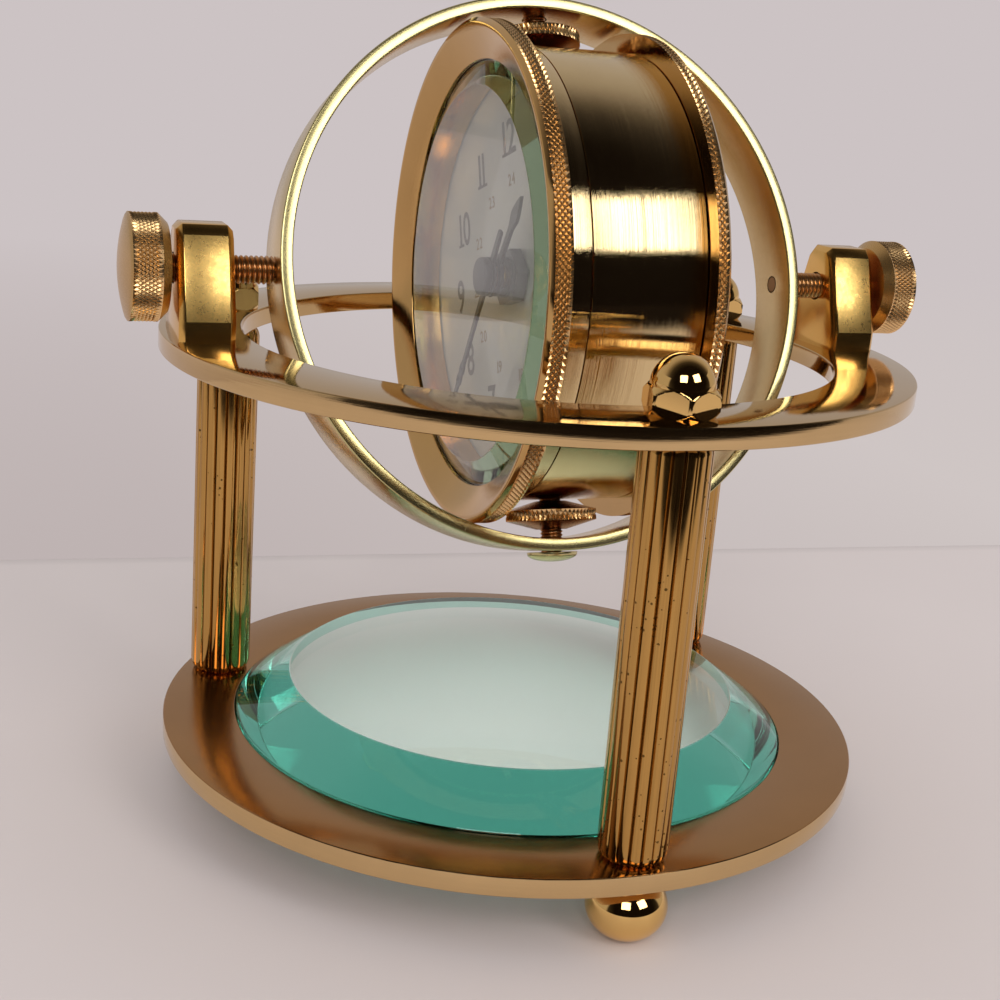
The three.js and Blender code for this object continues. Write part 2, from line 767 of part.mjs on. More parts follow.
// Places of the arbors, each at the working distance of its pinion from the wheel that drives it
function beside(from, teeth, otherTeeth, heading) {
  const reach = (gearModule * (teeth + otherTeeth)) / 2;
  const angle = THREE.MathUtils.degToRad(heading);
  return { x: from.x + reach * Math.cos(angle), y: from.y + reach * Math.sin(angle) };
}

const centre = { x: 0, y: 0 };
const third = beside(centre, centreTeeth, pinionTeeth, thirdHeading);
const fourth = beside(third, thirdTeeth, pinionTeeth, fourthHeading);
const step = beside(fourth, fourthTeeth, pinionTeeth, stepHeading);
const rotor = beside(step, stepTeeth, pinionTeeth, rotorHeading);
const minute = beside(centre, cannonTeeth, minuteTeeth, minuteHeading);
const setting = beside(minute, minuteTeeth, settingTeeth, settingHeading);

// The movement's square case is wide enough for its battery between two contacts, and for its motor
const coreMiddle = rotor.y + statorHalf - coreWidth / 2;
const batterySpan = batteryLength + 2 * (turnGap + contactThickness + contactGap + movementWall);
const motorSpan = 2 * (coreMiddle + coilWidth / 2 + turnGap + movementWall);
const movementSide = Math.max(batterySpan, motorSpan);
const batteryDrop = movementSide / 2 - movementWall - slipGap - batteryRadius;

// The turn that puts a gap of one gear against a tooth of the gear that drives it
function meshed(driver, driverTeeth, driverTurn, place, teeth) {
  const heading = Math.atan2(place.y - driver.y, place.x - driver.x);
  const share = ((heading - driverTurn) * driverTeeth) / (2 * Math.PI);
  return heading + Math.PI - ((0.5 - share) * 2 * Math.PI) / teeth;
}

function gear(teeth, turn, low, high) {
  const shape = new THREE.Shape();
  const pitch = (gearModule * teeth) / 2;
  for (let i = 0; i < 2 * teeth; i += 1) {
    const radius = i % 2 === 0 ? pitch + addendum * gearModule : pitch - dedendum * gearModule;
    const angle = turn + (Math.PI * i) / teeth;
    if (i === 0) shape.moveTo(radius * Math.cos(angle), radius * Math.sin(angle));
    else shape.lineTo(radius * Math.cos(angle), radius * Math.sin(angle));
  }
  return prism(shape, low, high);
}

const innerFront = -movementWall;
const innerBack = movementWall - movementDepth;
const arborFront = innerFront - seatGap;
const arborBack = innerBack + seatGap;
const hourLevelLow = innerFront - hourWheelGap - wheelThickness;
const minuteWheelLow = hourLevelLow - minuteWheelGap - wheelThickness;
const centreLow = minuteWheelLow - centreWheelGap - wheelThickness;
const thirdLow = centreLow - trainWheelGap - wheelThickness;
const fourthLow = thirdLow - trainWheelGap - wheelThickness;
const stepLow = fourthLow - trainWheelGap - wheelThickness;
const statorLow = stepLow - statorGap - statorThickness;

function pinionAt(teeth, turn, wheelLow) {
  const low = wheelLow - (pinionThickness - wheelThickness) / 2;
  return gear(teeth, turn, low, low + pinionThickness);
}

const thirdTurn = meshed(centre, centreTeeth, 0, third, pinionTeeth);
const fourthTurn = meshed(third, thirdTeeth, 0, fourth, pinionTeeth);
const stepTurn = meshed(fourth, fourthTeeth, 0, step, pinionTeeth);
const rotorTurn = meshed(step, stepTeeth, 0, rotor, pinionTeeth);
const minuteTurn = meshed(centre, cannonTeeth, 0, minute, minuteTeeth);
const settingTurn = meshed(minute, minuteTeeth, minuteTurn, setting, settingTeeth);
const hourTurn = meshed(minute, minutePinionTeeth, 0, centre, hourTeeth);

// The cannon arbor carries the minute hand and slips in the centre wheel when the hands are set
const cannonArbor = rod(centreArbor, arborBack, capLevel - movementFront - seatGap, holeFacets)
  .add(pinionAt(cannonTeeth, 0, minuteWheelLow));
add(movement, 'cannon_arbor', cannonArbor, goldBrass);
const centreWheel = gear(centreTeeth, 0, centreLow, centreLow + wheelThickness)
  .add(rod(centreHub, centreLow, centreLow + wheelThickness + turnGap, smallFacets))
  .subtract(rod(centreArbor + slipGap, -movementDepth, 0, holeFacets));
add(movement, 'centre_wheel', centreWheel, goldBrass);

function trainWheel(pinionTurn, pinionLevel, wheelTeeth, wheelLow) {
  return pinionAt(pinionTeeth, pinionTurn, pinionLevel)
    .add(gear(wheelTeeth, 0, wheelLow, wheelLow + wheelThickness))
    .add(rod(trainArbor, arborBack, arborFront, holeFacets));
}

const thirdWheel = trainWheel(thirdTurn, centreLow, thirdTeeth, thirdLow);
add(movement, 'third_wheel', thirdWheel, goldBrass).position.set(third.x, third.y, 0);
const fourthWheel = trainWheel(fourthTurn, thirdLow, fourthTeeth, fourthLow);
add(movement, 'fourth_wheel', fourthWheel, goldBrass).position.set(fourth.x, fourth.y, 0);
const stepWheel = trainWheel(stepTurn, fourthLow, stepTeeth, stepLow);
add(movement, 'step_wheel', stepWheel, goldBrass).position.set(step.x, step.y, 0);
const magnetMiddle = statorLow + statorThickness / 2;
const rotorBody = pinionAt(pinionTeeth, rotorTurn, stepLow)
  .add(rod(trainArbor, arborBack, arborFront, holeFacets))
  .add(rod(rotorRadius, magnetMiddle - rotorHeight / 2, magnetMiddle + rotorHeight / 2, smallFacets));
add(movement, 'rotor', rotorBody, steel).position.set(rotor.x, rotor.y, 0);

const minuteWheel = gear(minuteTeeth, minuteTurn, minuteWheelLow, minuteWheelLow + wheelThickness)
  .add(gear(minutePinionTeeth, 0, minuteWheelLow + wheelThickness / 2, hourLevelLow + wheelThickness))
  .add(rod(trainArbor, minuteWheelLow - minuteArborTail, arborFront, holeFacets));
add(movement, 'minute_wheel', minuteWheel, goldBrass).position.set(minute.x, minute.y, 0);
const hourPipe = rod(hourPipeRadius, hourLevelLow, hourLevel + handThickness - movementFront, smallFacets);
const hourWheel = gear(hourTeeth, hourTurn, hourLevelLow, hourLevelLow + wheelThickness)
  .add(hourPipe)
  .subtract(rod(hourPipeBore, -movementDepth, movementDepth, holeFacets));
add(movement, 'hour_wheel', hourWheel, goldBrass);
const knobTop = -movementDepth - turnGap;
const settingKnob = gear(settingTeeth, settingTurn, minuteWheelLow, minuteWheelLow + wheelThickness)
  .add(rod(settingArbor, knobTop - settingKnobHeight / 2, arborFront, holeFacets))
  .add(rod(settingKnobRadius, knobTop - settingKnobHeight, knobTop, smallFacets));
add(movement, 'setting_knob', settingKnob, blackPlastic).position.set(setting.x, setting.y, 0);

// Movement case: two open boxes face to face, the front with the bush, the back with the battery's bay
const caseSquare = roundedSquare(movementSide, movementCorner);
const caseSpace = roundedSquare(movementSide - 2 * movementWall, movementCorner - movementWall);
const bushHole = rod(hourPipeRadius + slipGap, -movementSplit, bushLength + 1, smallFacets);
const frontCase = prism(caseSquare, -movementSplit, 0)
  .subtract(prism(caseSpace, -movementSplit - 1, innerFront))
  .add(rod(bushRadius, -movementWall / 2, bushLength, smallFacets))
  .subtract(bushHole);
add(movement, 'movement_front_case', frontCase, blackPlastic);
const bayWidth = movementSide - 2 * movementWall;
const bayHeight = 2 * (batteryRadius + turnGap);
const bay = slab(bayWidth, bayHeight, -movementDepth - 1, innerBack + 1);
const backCase = prism(caseSquare, -movementDepth, -movementSplit - seatGap)
  .subtract(prism(caseSpace, innerBack, 0))
  .subtract(shifted(bay, 0, -batteryDrop, 0))
  .subtract(shifted(rod(settingArbor + slipGap, -movementDepth - 1, 0, holeFacets), setting.x, setting.y, 0));
add(movement, 'movement_back_case', backCase, blackPlastic);

// Battery in the bay, a contact at each end
const batteryHalf = batteryLength / 2;
const cell = rod(batteryRadius, -batteryHalf, batteryHalf - batteryPoleLength, smallFacets)
  .add(rod(batteryPole, 0, batteryHalf, holeFacets));
const batteryDepth = innerFront - turnGap - batteryRadius;
add(movement, 'battery', placed(cell, alongX), batteryFoil).position.set(0, -batteryDrop, batteryDepth);
const contact = slab(contactThickness, contactSide, -contactSide / 2, contactSide / 2);
for (const { side, sign } of sides) {
  const x = sign * (batteryHalf + turnGap + contactThickness / 2);
  add(movement, `battery_contact_${side}`, contact, steel).position.set(x, -batteryDrop, batteryDepth);
}

// Stepping motor: the stator plate round the rotor with its core bar, and the coil on the bar
const plate = new THREE.Shape();
plate.moveTo(rotor.x - statorHalf, rotor.y - statorHalf);
plate.lineTo(rotor.x + statorHalf, rotor.y - statorHalf);
plate.lineTo(rotor.x + statorHalf, coreMiddle - coreWidth / 2);
plate.lineTo(coreEnd, coreMiddle - coreWidth / 2);
plate.lineTo(coreEnd, coreMiddle + coreWidth / 2);
plate.lineTo(rotor.x - statorHalf, coreMiddle + coreWidth / 2);
const rotorHole = shifted(rod(statorHole, -movementDepth, 0, smallFacets), rotor.x, rotor.y, 0);
const stator = prism(plate, statorLow, statorLow + statorThickness).subtract(rotorHole);
add(movement, 'stator', stator, steel);
const coilLength = coilEnd - coilStart;
const wound = slab(coilLength, coilWidth, magnetMiddle - coilHeight / 2, magnetMiddle + coilHeight / 2);
const windowLow = statorLow - turnGap;
const windowHigh = statorLow + statorThickness + turnGap;
const window = slab(coilLength + 2, coreWidth + 2 * turnGap, windowLow, windowHigh);
const coil = shifted(wound.subtract(window), (coilStart + coilEnd) / 2, coreMiddle, 0);
add(movement, 'coil', coil, copper);

// Circuit board on the back of the case
const board = slab(boardWidth, boardHeight, arborBack, arborBack + boardThickness);
add(movement, 'circuit_board', board, greenBoard).position.set(boardX, boardY, 0);

// Nut that holds the movement to the dial
const dialNutLow = dialFront + seatGap - movementFront;
const dialNutHex = prism(polygon(6, dialNutFlats / Math.sqrt(3), 0), dialNutLow, dialNutLow + dialNutHeight);
const dialNut = dialNutHex.subtract(rod(bushRadius + slipGap, 0, movementDepth, smallFacets));
add(movement, 'dial_nut', dialNut, greySteel);

export default clock;
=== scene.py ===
# %% [markdown]
# # A gimbal desk clock
# A polished brass drum clock turns inside a ring, and the ring tilts between two thumbscrews above a
# glass base on three reeded posts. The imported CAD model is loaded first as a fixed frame. Each piece
# that shows is then made again with finer detail in the place of its CAD node, and rides on that
# node's body, so that every joint still moves it.

# %% Frame
from math import atan2, cos, hypot, pi, radians, sin, sqrt

import bmesh
import bpy
from mathutils import Matrix, Vector


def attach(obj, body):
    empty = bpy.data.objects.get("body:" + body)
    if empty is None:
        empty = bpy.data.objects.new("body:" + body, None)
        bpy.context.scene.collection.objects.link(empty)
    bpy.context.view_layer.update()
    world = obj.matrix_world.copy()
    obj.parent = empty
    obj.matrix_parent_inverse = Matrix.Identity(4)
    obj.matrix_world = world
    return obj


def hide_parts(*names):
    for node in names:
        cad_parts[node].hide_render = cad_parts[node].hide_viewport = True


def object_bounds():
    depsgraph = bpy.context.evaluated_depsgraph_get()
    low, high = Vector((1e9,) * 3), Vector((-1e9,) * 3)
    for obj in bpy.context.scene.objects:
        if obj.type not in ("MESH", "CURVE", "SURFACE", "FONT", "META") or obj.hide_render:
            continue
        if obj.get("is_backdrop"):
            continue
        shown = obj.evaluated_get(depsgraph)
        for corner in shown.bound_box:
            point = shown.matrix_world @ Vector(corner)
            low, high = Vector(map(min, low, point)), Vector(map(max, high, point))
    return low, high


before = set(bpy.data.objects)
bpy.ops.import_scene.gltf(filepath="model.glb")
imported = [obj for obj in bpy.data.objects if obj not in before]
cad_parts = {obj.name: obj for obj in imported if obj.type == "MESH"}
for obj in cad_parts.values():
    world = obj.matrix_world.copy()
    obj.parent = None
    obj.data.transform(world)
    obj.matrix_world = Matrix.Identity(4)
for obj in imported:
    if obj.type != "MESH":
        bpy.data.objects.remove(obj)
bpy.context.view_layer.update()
scene = bpy.context.scene
scene.view_settings.view_transform = "Standard"
scene.cycles.max_bounces, scene.cycles.glossy_bounces, scene.cycles.transmission_bounces = 32, 24, 24

# %% [markdown]
# ## Camera
# The photograph looks a little down on the clock from its left front, and is tilted a few degrees.
# A camera could be aimed with a constraint, but then its tilt would need another empty. Writing its
# three axes as vectors keeps the heading, the pitch and the roll as three plain numbers.

# %% Camera
heading, pitch, roll = radians(20.8), radians(15.81), radians(4.4838)
camera_place = (-0.124656, -0.31248, 0.163271)
forward = Vector((sin(heading) * cos(pitch), cos(heading) * cos(pitch), -sin(pitch)))
level = forward.cross(Vector((0, 0, 1))).normalized()
above = level.cross(forward)
right = cos(roll) * level + sin(roll) * above
upward = cos(roll) * above - sin(roll) * level
camera = bpy.data.objects.new("camera", bpy.data.cameras.new("camera"))
camera.data.lens = 55.03
camera.data.sensor_width = 36
camera.data.clip_start = 0.01
camera_axes = Matrix((right, upward, -forward)).transposed().to_4x4()
camera.matrix_world = Matrix.Translation(camera_place) @ camera_axes
scene.collection.objects.link(camera)
scene.camera = camera
print("camera looks along", tuple(round(x, 3) for x in forward))

# %% [markdown]
# ## Shader maths in Python
# Materials here are sums and products of noise. Adding Math nodes by hand is slow to write and hard
# to read, so one small class wraps a socket. Python's own operators on it add the Math nodes, and its
# node method adds any other node with its settings and its sockets. A few more methods stand for the
# nodes that come up again and again.

# %% Wires
class Wire:
    """One output socket of a node tree, with Python's operators as Math nodes."""

    def __init__(self, tree, socket=None):
        self.tree, self.socket = tree, socket

    def node(self, kind, sockets=None, output=0, stops=None, **settings):
        made = self.tree.nodes.new("ShaderNode" + kind)
        for name, value in settings.items():
            setattr(made, name, value)
        for place, (position, colour) in enumerate(stops or ()):
            ramp = made.color_ramp.elements
            stop = ramp[place] if place < 2 else ramp.new(position)
            stop.position, stop.color = position, colour
        for name, value in (sockets or {}).items():
            self.join(value, made.inputs[name])
        return Wire(self.tree, made.outputs[output])

    def join(self, value, socket):
        if isinstance(value, Wire):
            self.tree.links.new(value.socket, socket)
        else:
            socket.default_value = value

    def maths(self, operation, first, second=0.0):
        return self.node("Math", {0: first, 1: second}, operation=operation)

    def __add__(self, other):
        return self.maths("ADD", self, other)

    def __radd__(self, other):
        return self.maths("ADD", other, self)

    def __sub__(self, other):
        return self.maths("SUBTRACT", self, other)

    def __mul__(self, other):
        return self.maths("MULTIPLY", self, other)

    def __gt__(self, other):
        return self.maths("GREATER_THAN", self, other)

    def __lt__(self, other):
        return self.maths("LESS_THAN", self, other)

    def __pow__(self, other):
        return self.maths("POWER", self, other)

    def blend(self, first, second):
        """Mixes two colours, by this socket as the share of the second."""
        return self.node("Mix", {0: self, 6: first, 7: second}, 2, data_type="RGBA")

    def ramp(self, start, end, top=1.0):
        """Rises from nothing to top as this socket goes from start to end."""
        return self.node("MapRange", {"Value": self, 1: start, 2: end, 4: top})

    def noise(self, scale, detail, roughness=0.5):
        """Noise at this place."""
        sockets = {"Vector": self, "Scale": scale, "Detail": detail, "Roughness": roughness}
        return self.node("TexNoise", sockets)

    def parts(self):
        """The three parts of this vector."""
        made = self.tree.nodes.new("ShaderNodeSeparateXYZ")
        self.join(self, made.inputs[0])
        return [Wire(self.tree, socket) for socket in made.outputs]

    def ray(self, *names):
        """Facts about the ray that has arrived, one for each output's name."""
        made = self.tree.nodes.new("ShaderNodeLightPath")
        return [Wire(self.tree, made.outputs[name]) for name in names]


def colour(red, green, blue):
    """A colour as a picture shows it, in 0 to 255, for a shader's socket."""
    def straight(x):
        x /= 255
        return x / 12.92 if x <= 0.04045 else ((x + 0.055) / 1.055) ** 2.4
    return (straight(red), straight(green), straight(blue), 1)


def shade(tone, share):
    """The same colour, darker or lighter."""
    return (tone[0] * share, tone[1] * share, tone[2] * share, 1)


def new_finish(name, **constants):
    """A material with its constants on the shader's own sockets."""
    material = bpy.data.materials.new(name)
    material.use_nodes = True
    shader = material.node_tree.nodes["Principled BSDF"]
    for socket, value in constants.items():
        shader.inputs[socket.replace("_", " ")].default_value = value
    return material, Wire(material.node_tree), shader


print("wires ready")

# %% [markdown]
# ## Studio
# A pale table runs back to a pale wall, and two soft square lamps stand high on the camera's side. In
# brass the surroundings matter as much as the metal, so the world has a pale wall behind, a dark
# ceiling and a dark room behind the camera, which mirror surfaces show as bands. The wall is drawn on
# the table itself beyond a straight line, so that no upright plane stands in the way of other views.

# %% Lamps and world
lamp_wide, lamp_tall, lamp_power = 0.98, 1.0, 15.0
lamp_rise, lamp_distance = radians(32.5), 2.4
lit_point = Vector((0, 0, 0.1))


def lamp(name, bearing):
    """A square lamp at a bearing from the front, aimed at the clock."""
    light = bpy.data.lights.new(name, "AREA")
    light.shape, light.size, light.size_y = "RECTANGLE", lamp_wide, lamp_tall
    light.energy, light.color = lamp_power, (1, 0.985, 0.965)
    made = bpy.data.objects.new(name, light)
    away = Vector((sin(bearing) * cos(lamp_rise), -cos(bearing) * cos(lamp_rise), sin(lamp_rise)))
    made.location = lit_point + lamp_distance * away
    made.rotation_mode = "QUATERNION"
    made.rotation_quaternion = away.to_track_quat("Z", "Y")
    made.visible_camera = False
    scene.collection.objects.link(made)


lamp("softbox_left", radians(-25))
lamp("softbox_right", radians(27))
wall_colour = colour(204, 195, 196)
table_colour = colour(197, 188, 187)
world = bpy.data.worlds.new("studio")
scene.world = world
world.use_nodes = True
sky = Wire(world.node_tree)
_, ahead, high = sky.node("TexCoord", output="Generated").parts()
facing = ahead * -1
side_wall, black = (0.47, 0.44, 0.43, 1), (0.007, 0.005, 0.004, 1)
room = sky.node("ValToRGB", {0: (facing + high * 0.395) * 0.5 + 0.5}, stops=[
    (0.0, (0.55, 0.515, 0.50, 1)), (1.0, black), (0.35, side_wall), (0.475, (0.38, 0.35, 0.34, 1)),
    (0.575, (0.17, 0.15, 0.14, 1)), (0.655, (0.05, 0.043, 0.039, 1)), (0.74, (0.02, 0.017, 0.015, 1)),
    (0.81, black),
])
beside = facing.ramp(0.27, 0.17) * (high < 0.45)
room = beside.blend(room, side_wall)
seen, mirrored, through, scattered = sky.ray(
    "Is Camera Ray", "Is Glossy Ray", "Is Transmission Ray", "Diffuse Depth")
lit = (0.93, 0.91, 0.905, 1)
shown = seen.blend(through.blend(mirrored.blend(lit, room), wall_colour), wall_colour)
shown = (scattered > 0.5).blend(shown, lit)
sky.join(shown, world.node_tree.nodes["Background"].inputs["Color"])
print("two lamps and a room")

# %% Table
table_middle, table_halves = (0, 2.15, 0), (5, 3.85, 1, 1)
wall_start, wall_lean, crease = 0.167, 0.066, 0.006
bm = bmesh.new()
bmesh.ops.create_grid(bm, x_segments=1, y_segments=1, size=1,
                      matrix=Matrix.Translation(table_middle) @ Matrix.Diagonal(table_halves))
table_mesh = bpy.data.meshes.new("table")
bm.to_mesh(table_mesh)
bm.free()
table = bpy.data.objects.new("table", table_mesh)
scene.collection.objects.link(table)
finish, wire, shader = new_finish("pale_table", Roughness=0.65)
where = wire.node("TexCoord", output="Object")
across, back, _ = where.parts()
beyond = back + across * wall_lean
surface = where.noise(7, 3).blend(shade(table_colour, 0.97), shade(table_colour, 1.03))
shadowed = beyond.ramp(wall_start - crease, wall_start, 0.3)
surface = shadowed.blend(surface, shade(table_colour, 0.5))
through, mirrored = wire.ray("Is Transmission Ray", "Is Glossy Ray")
# Painted light: the table is painted paler where it is seen through glass, for the brightness under the base
# glass.
wire.join(through.blend(surface, colour(240, 236, 232)), shader.inputs["Base Color"])
# Painted shade: the glowing wall beyond the line is darker at its foot, and more so towards the left.
lower = across.ramp(-0.05, 0.3).blend(colour(190, 179, 178), colour(207, 198, 196))
glow = wire.node("Emission", {"Color": beyond.ramp(0.17, 1.0).blend(lower, wall_colour)})
both = wire.node("MixShader", {0: beyond > wall_start, 1: Wire(wire.tree, shader.outputs[0]), 2: glow})
unlit = wire.node("Emission", {"Color": (0.012, 0.009, 0.008, 1)})
both = wire.node("MixShader", {0: back.ramp(-0.38, -0.5) * mirrored, 1: both, 2: unlit})
wire.join(both, wire.tree.nodes["Material Output"].inputs["Surface"])
table_mesh.materials.append(finish)
table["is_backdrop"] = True
print("table", tuple(round(x, 2) for x in table.dimensions))

# %% [markdown]
# ## Turned pieces
# Nearly every piece of this clock came off a lathe: an outline of radius and height, turned about an
# axis. A cylinder with bevels would need many edits, so each outline is drawn once as a wire, its
# corners are rounded with a vertex bevel, and the spin operator turns it. Sizes are in millimetres in
# the piece's own frame, and a matrix then puts it where the CAD frame has it.

# %% Lathe
millimetre, in_millimetres = 0.001, 1000


def smoothed(bm):
    """Shades every face of a bmesh smooth."""
    for face in bm.faces:
        face.smooth = True
    return bm


def washer(inner, outer, bottom, top):
    """The outline of a flat ring, or of half a disc where its inside is nothing."""
    return [(inner, bottom), (outer, bottom), (outer, top), (inner, top)]


def lathe(outline, steps, closed=True, rounds=()):
    """Spins an outline of (radius, height). Rounds gives (corner numbers, radius) pairs."""
    bm = bmesh.new()
    points = [bm.verts.new((radius, 0, height)) for radius, height in outline]
    for first, second in zip(points, points[1:] + points[:1] if closed else points[1:]):
        bm.edges.new((first, second))
    for corners, radius in rounds:
        bmesh.ops.bevel(bm, geom=[points[i] for i in corners], offset=radius, offset_type="OFFSET",
                        affect="VERTICES", segments=3, profile=0.5, material=-1)
    bmesh.ops.spin(bm, geom=bm.verts[:] + bm.edges[:], axis=(0, 0, 1), cent=(0, 0, 0),
                   angle=2 * pi, steps=steps, use_merge=True)
    bmesh.ops.remove_doubles(bm, verts=bm.verts, dist=1e-4)
    bmesh.ops.recalc_face_normals(bm, faces=bm.faces)
    return smoothed(bm)


def finished(bm, name, finishes=(), place=Matrix(), sharp=28):
    """Puts a bmesh of millimetres in its place, as a mesh object at the origin with its finishes."""
    bmesh.ops.transform(bm, matrix=Matrix.Scale(millimetre, 4) @ place, verts=bm.verts)
    mesh = bpy.data.meshes.new(name)
    bm.to_mesh(mesh)
    bm.free()
    mesh.set_sharp_from_angle(angle=radians(sharp))
    for finish in finishes:
        mesh.materials.append(finish)
    piece = bpy.data.objects.new(name, mesh)
    scene.collection.objects.link(piece)
    return piece


def dress(piece, body, slot, *nodes):
    """Gives a piece the body that carries it, and hides the CAD nodes that it stands for."""
    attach(piece, body)
    if nodes:
        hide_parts(*nodes)
    print(piece.name, len(piece.data.polygons), "faces on", body)


pivot_height = 119.2852
tilt = radians(18.2)
pivots = Matrix.Translation((0, 0, pivot_height))
tilting = pivots @ Matrix.Rotation(-tilt, 4, "X")
drum_axes = Matrix(((0, 0, -1), (-1, 0, 0), (0, 1, 0))).to_4x4()
drum_place = tilting @ drum_axes
print("drum faces", tuple(round(x, 3) for x in drum_place.col[2][:3]))

# %% [markdown]
# ## Brass finishes
# All the metal is one lacquered brass, but each piece is finished another way: mirror polish on the
# drum, fine turning marks on the rings, satin on flat faces. One function makes them all. Cloudy noise
# shifts the colour and the gloss, long thin noise scratches it, and turning marks follow the radius
# from the piece's own axis, which a Mapping node moves to the middle.

# %% Brass
def brass(name, tone, gloss, place=None, marks=0.0, scratches=0.25, pits=0.0, cloud=0.05, fine=9.0,
          grooves=0.0, drawn=0.0, scuffs=0.0, brushed=0.0, spun=0.0):
    """A brass finish. Gloss is the roughness, and marks and spun are the depths of cloudy and of fine
    turning marks about place. Grooves darkens the points that a mesh marks as grooves. The other numbers are
    shares of one kind of wear or work each."""
    finish, wire, shader = new_finish(name, Metallic=1.0, Anisotropic=brushed,
                                      Anisotropic_Rotation=0.25 if brushed else 0.0)
    where = wire.node("TexCoord", output="Object")
    clouds = where.noise(70, 4, 0.6)
    hair = wire.node("Mapping", {"Vector": where, "Rotation": (0.5, 0.3, 0.9), "Scale": (1800, 160, 700)})
    scratch = hair.noise(1, 2).ramp(0.66, 0.78)
    rough = gloss + (clouds - 0.5) * cloud + scratch * (0.12 * scratches)
    tinted = clouds.blend(shade(tone, 0.90), shade(tone, 1.06))
    height = scratch * (-0.5 * scratches)
    if marks:
        local = wire.node("Mapping", {
            "Vector": where, "Location": place.translation * millimetre, "Rotation": place.to_euler(),
        }, vector_type="TEXTURE")
        x, y, z = local.parts()
        reach = wire.maths("SQRT", x * x + y * y)
        turn = wire.maths("ARCTAN2", y, x)
        polar = wire.node("CombineXYZ", {0: reach * in_millimetres, 1: z * in_millimetres, 2: turn * 1.5})
        lines = polar.noise(fine, 3, 0.7)
        rough = rough + (lines - 0.5) * (0.18 * marks)
        tinted = (lines * (0.35 * marks)).blend(tinted, shade(tone, 0.6))
        rings = wire.node("TexNoise", {"W": (z + reach) * in_millimetres, "Scale": 20, "Detail": 1},
                          noise_dimensions="1D")
        height = height + lines * marks + rings * spun
    if drawn:
        along = wire.node("Mapping", {"Vector": where, "Scale": (2600, 2600, 25)})
        streaks = along.noise(1, 3, 0.6)
        rough = rough + (streaks - 0.5) * (0.2 * drawn)
        tinted = streaks.ramp(0.5, 0.7, 0.6 * drawn).blend(tinted, shade(tone, 0.45))
        height = height + streaks * drawn
    if scuffs:
        rubbed = where.noise(640, 8, 0.8)
        rough = rough + (rubbed - 0.5) * (0.5 * scuffs)
        tinted = rubbed.ramp(0.42, 0.64, 0.75 * scuffs).blend(tinted, shade(tone, 0.4))
        height = height + rubbed * scuffs
    if pits:
        spots = wire.node("TexVoronoi", {"Vector": where, "Scale": 700})
        size = where.noise(500, 1) * 0.42 - 0.02
        spot = (size - spots).ramp(0.0, 0.05) * (where.noise(120, 3) > 0.55)
        tinted = (spot * pits).blend(tinted, shade(tone, 0.14))
        rough = rough + spot * 0.3
    # Darker towards the points that a mesh marks as grooves.
    if grooves:
        deep = wire.node("Attribute", output="Fac", attribute_name="groove") ** 2
        tinted = (deep * grooves).blend(tinted, shade(tone, 0.1))
        rough = rough + deep * 0.2
    bump = wire.node("Bump", {"Height": height, "Strength": 0.35, "Distance": 0.00004})
    wire.join(tinted, shader.inputs["Base Color"])
    wire.join(rough, shader.inputs["Roughness"])
    wire.join(bump, shader.inputs["Normal"])
    return finish


upright = Matrix()
ring_place = tilting @ Matrix.Rotation(-pi / 2, 4, "X")
knob_place = pivots @ Matrix.Rotation(pi / 2, 4, "Y")
satin_ring = brass("satin_base_ring", colour(176, 131, 83), 0.16, upright, 0.45, 0.1,
                   cloud=0.06, fine=5.0, brushed=0.6)
brushed_rim = brass("brushed_rim", colour(218, 184, 132), 0.08, upright, 0.8, 0.1,
                    cloud=0.03, fine=2.6, brushed=0.5)
# Painted shade: the ledge and the inner wall under the glass are a rougher brass, painted dark brown for the
# shade in that recess.
shaded_ledge_brass = brass("shaded_ledge_brass", colour(70, 52, 32), 0.4, upright, 0.6, 0.1)
polished_ring = brass("polished_top_ring", colour(208, 174, 122), 0.06, upright, 0.2, 0.3, cloud=0.03)
mirror_brass = brass("mirror_brass", colour(238, 196, 124), 0.04, scratches=0.2, cloud=0.03)
drum_brass = brass("drum_brass", colour(228, 201, 150), 0.05, drum_place, 0.15, 0.5, cloud=0.03, spun=0.85)
bezel_brass = brass("bezel_brass", colour(212, 170, 108), 0.07, drum_place, 0.3, 0.3, spun=0.25)
knurl_brass = brass("knurl_brass", colour(246, 202, 142), 0.19, scratches=0.2, pits=0.3, grooves=0.6)
gimbal_brass = brass("gimbal_brass", colour(212, 198, 142), 0.25, ring_place, 0.5, 0.3, fine=4.0)
gimbal_band = brass("gimbal_band_brass", colour(230, 202, 148), 0.2, ring_place, 0.4, 0.3,
                    fine=4.0, spun=0.35)
block_brass = brass("block_brass", colour(240, 198, 118), 0.3, scratches=0.4, cloud=0.1, scuffs=0.8)
block_polish = brass("block_polish_brass", colour(236, 186, 104), 0.15, scratches=0.4, cloud=0.06)
post_brass = brass("post_brass", colour(200, 154, 86), 0.11, scratches=0.2, pits=0.8, cloud=0.1,
                   grooves=0.9, drawn=0.6)
knob_face = brass("knob_face_brass", colour(210, 170, 110), 0.28, knob_place, 0.7, 0.3)
thread_brass = brass("thread_brass", colour(212, 160, 110), 0.24, scratches=0.2, pits=0.3, grooves=0.85)
dark_nut = brass("dark_nut_brass", colour(168, 118, 76), 0.2, scratches=0.3, cloud=0.1)
print("brass finishes ready")

# %% [markdown]
# ## Stand rings
# The base ring and the top ring are flat brass washers with a hair of rounding on their edges, which
# catches a bright line of light. The base ring has a ledge inside that carries the glass.

# %% Rings
ring_thickness = 4.3
base_radius, base_inner, ledge_inner = 79.996, 63.896, 60.296
top_radius, top_inner = 82.246, 64.946
base_bottom, top_bottom, ledge_height = 13.185, 101.385, 2.1
top_top = top_bottom + ring_thickness
ring_steps, rim_depth = 256, 0.1


def reach_of(face):
    """How far the middle of a face lies from the axis of turning."""
    return hypot(*face.calc_center_median().xy)


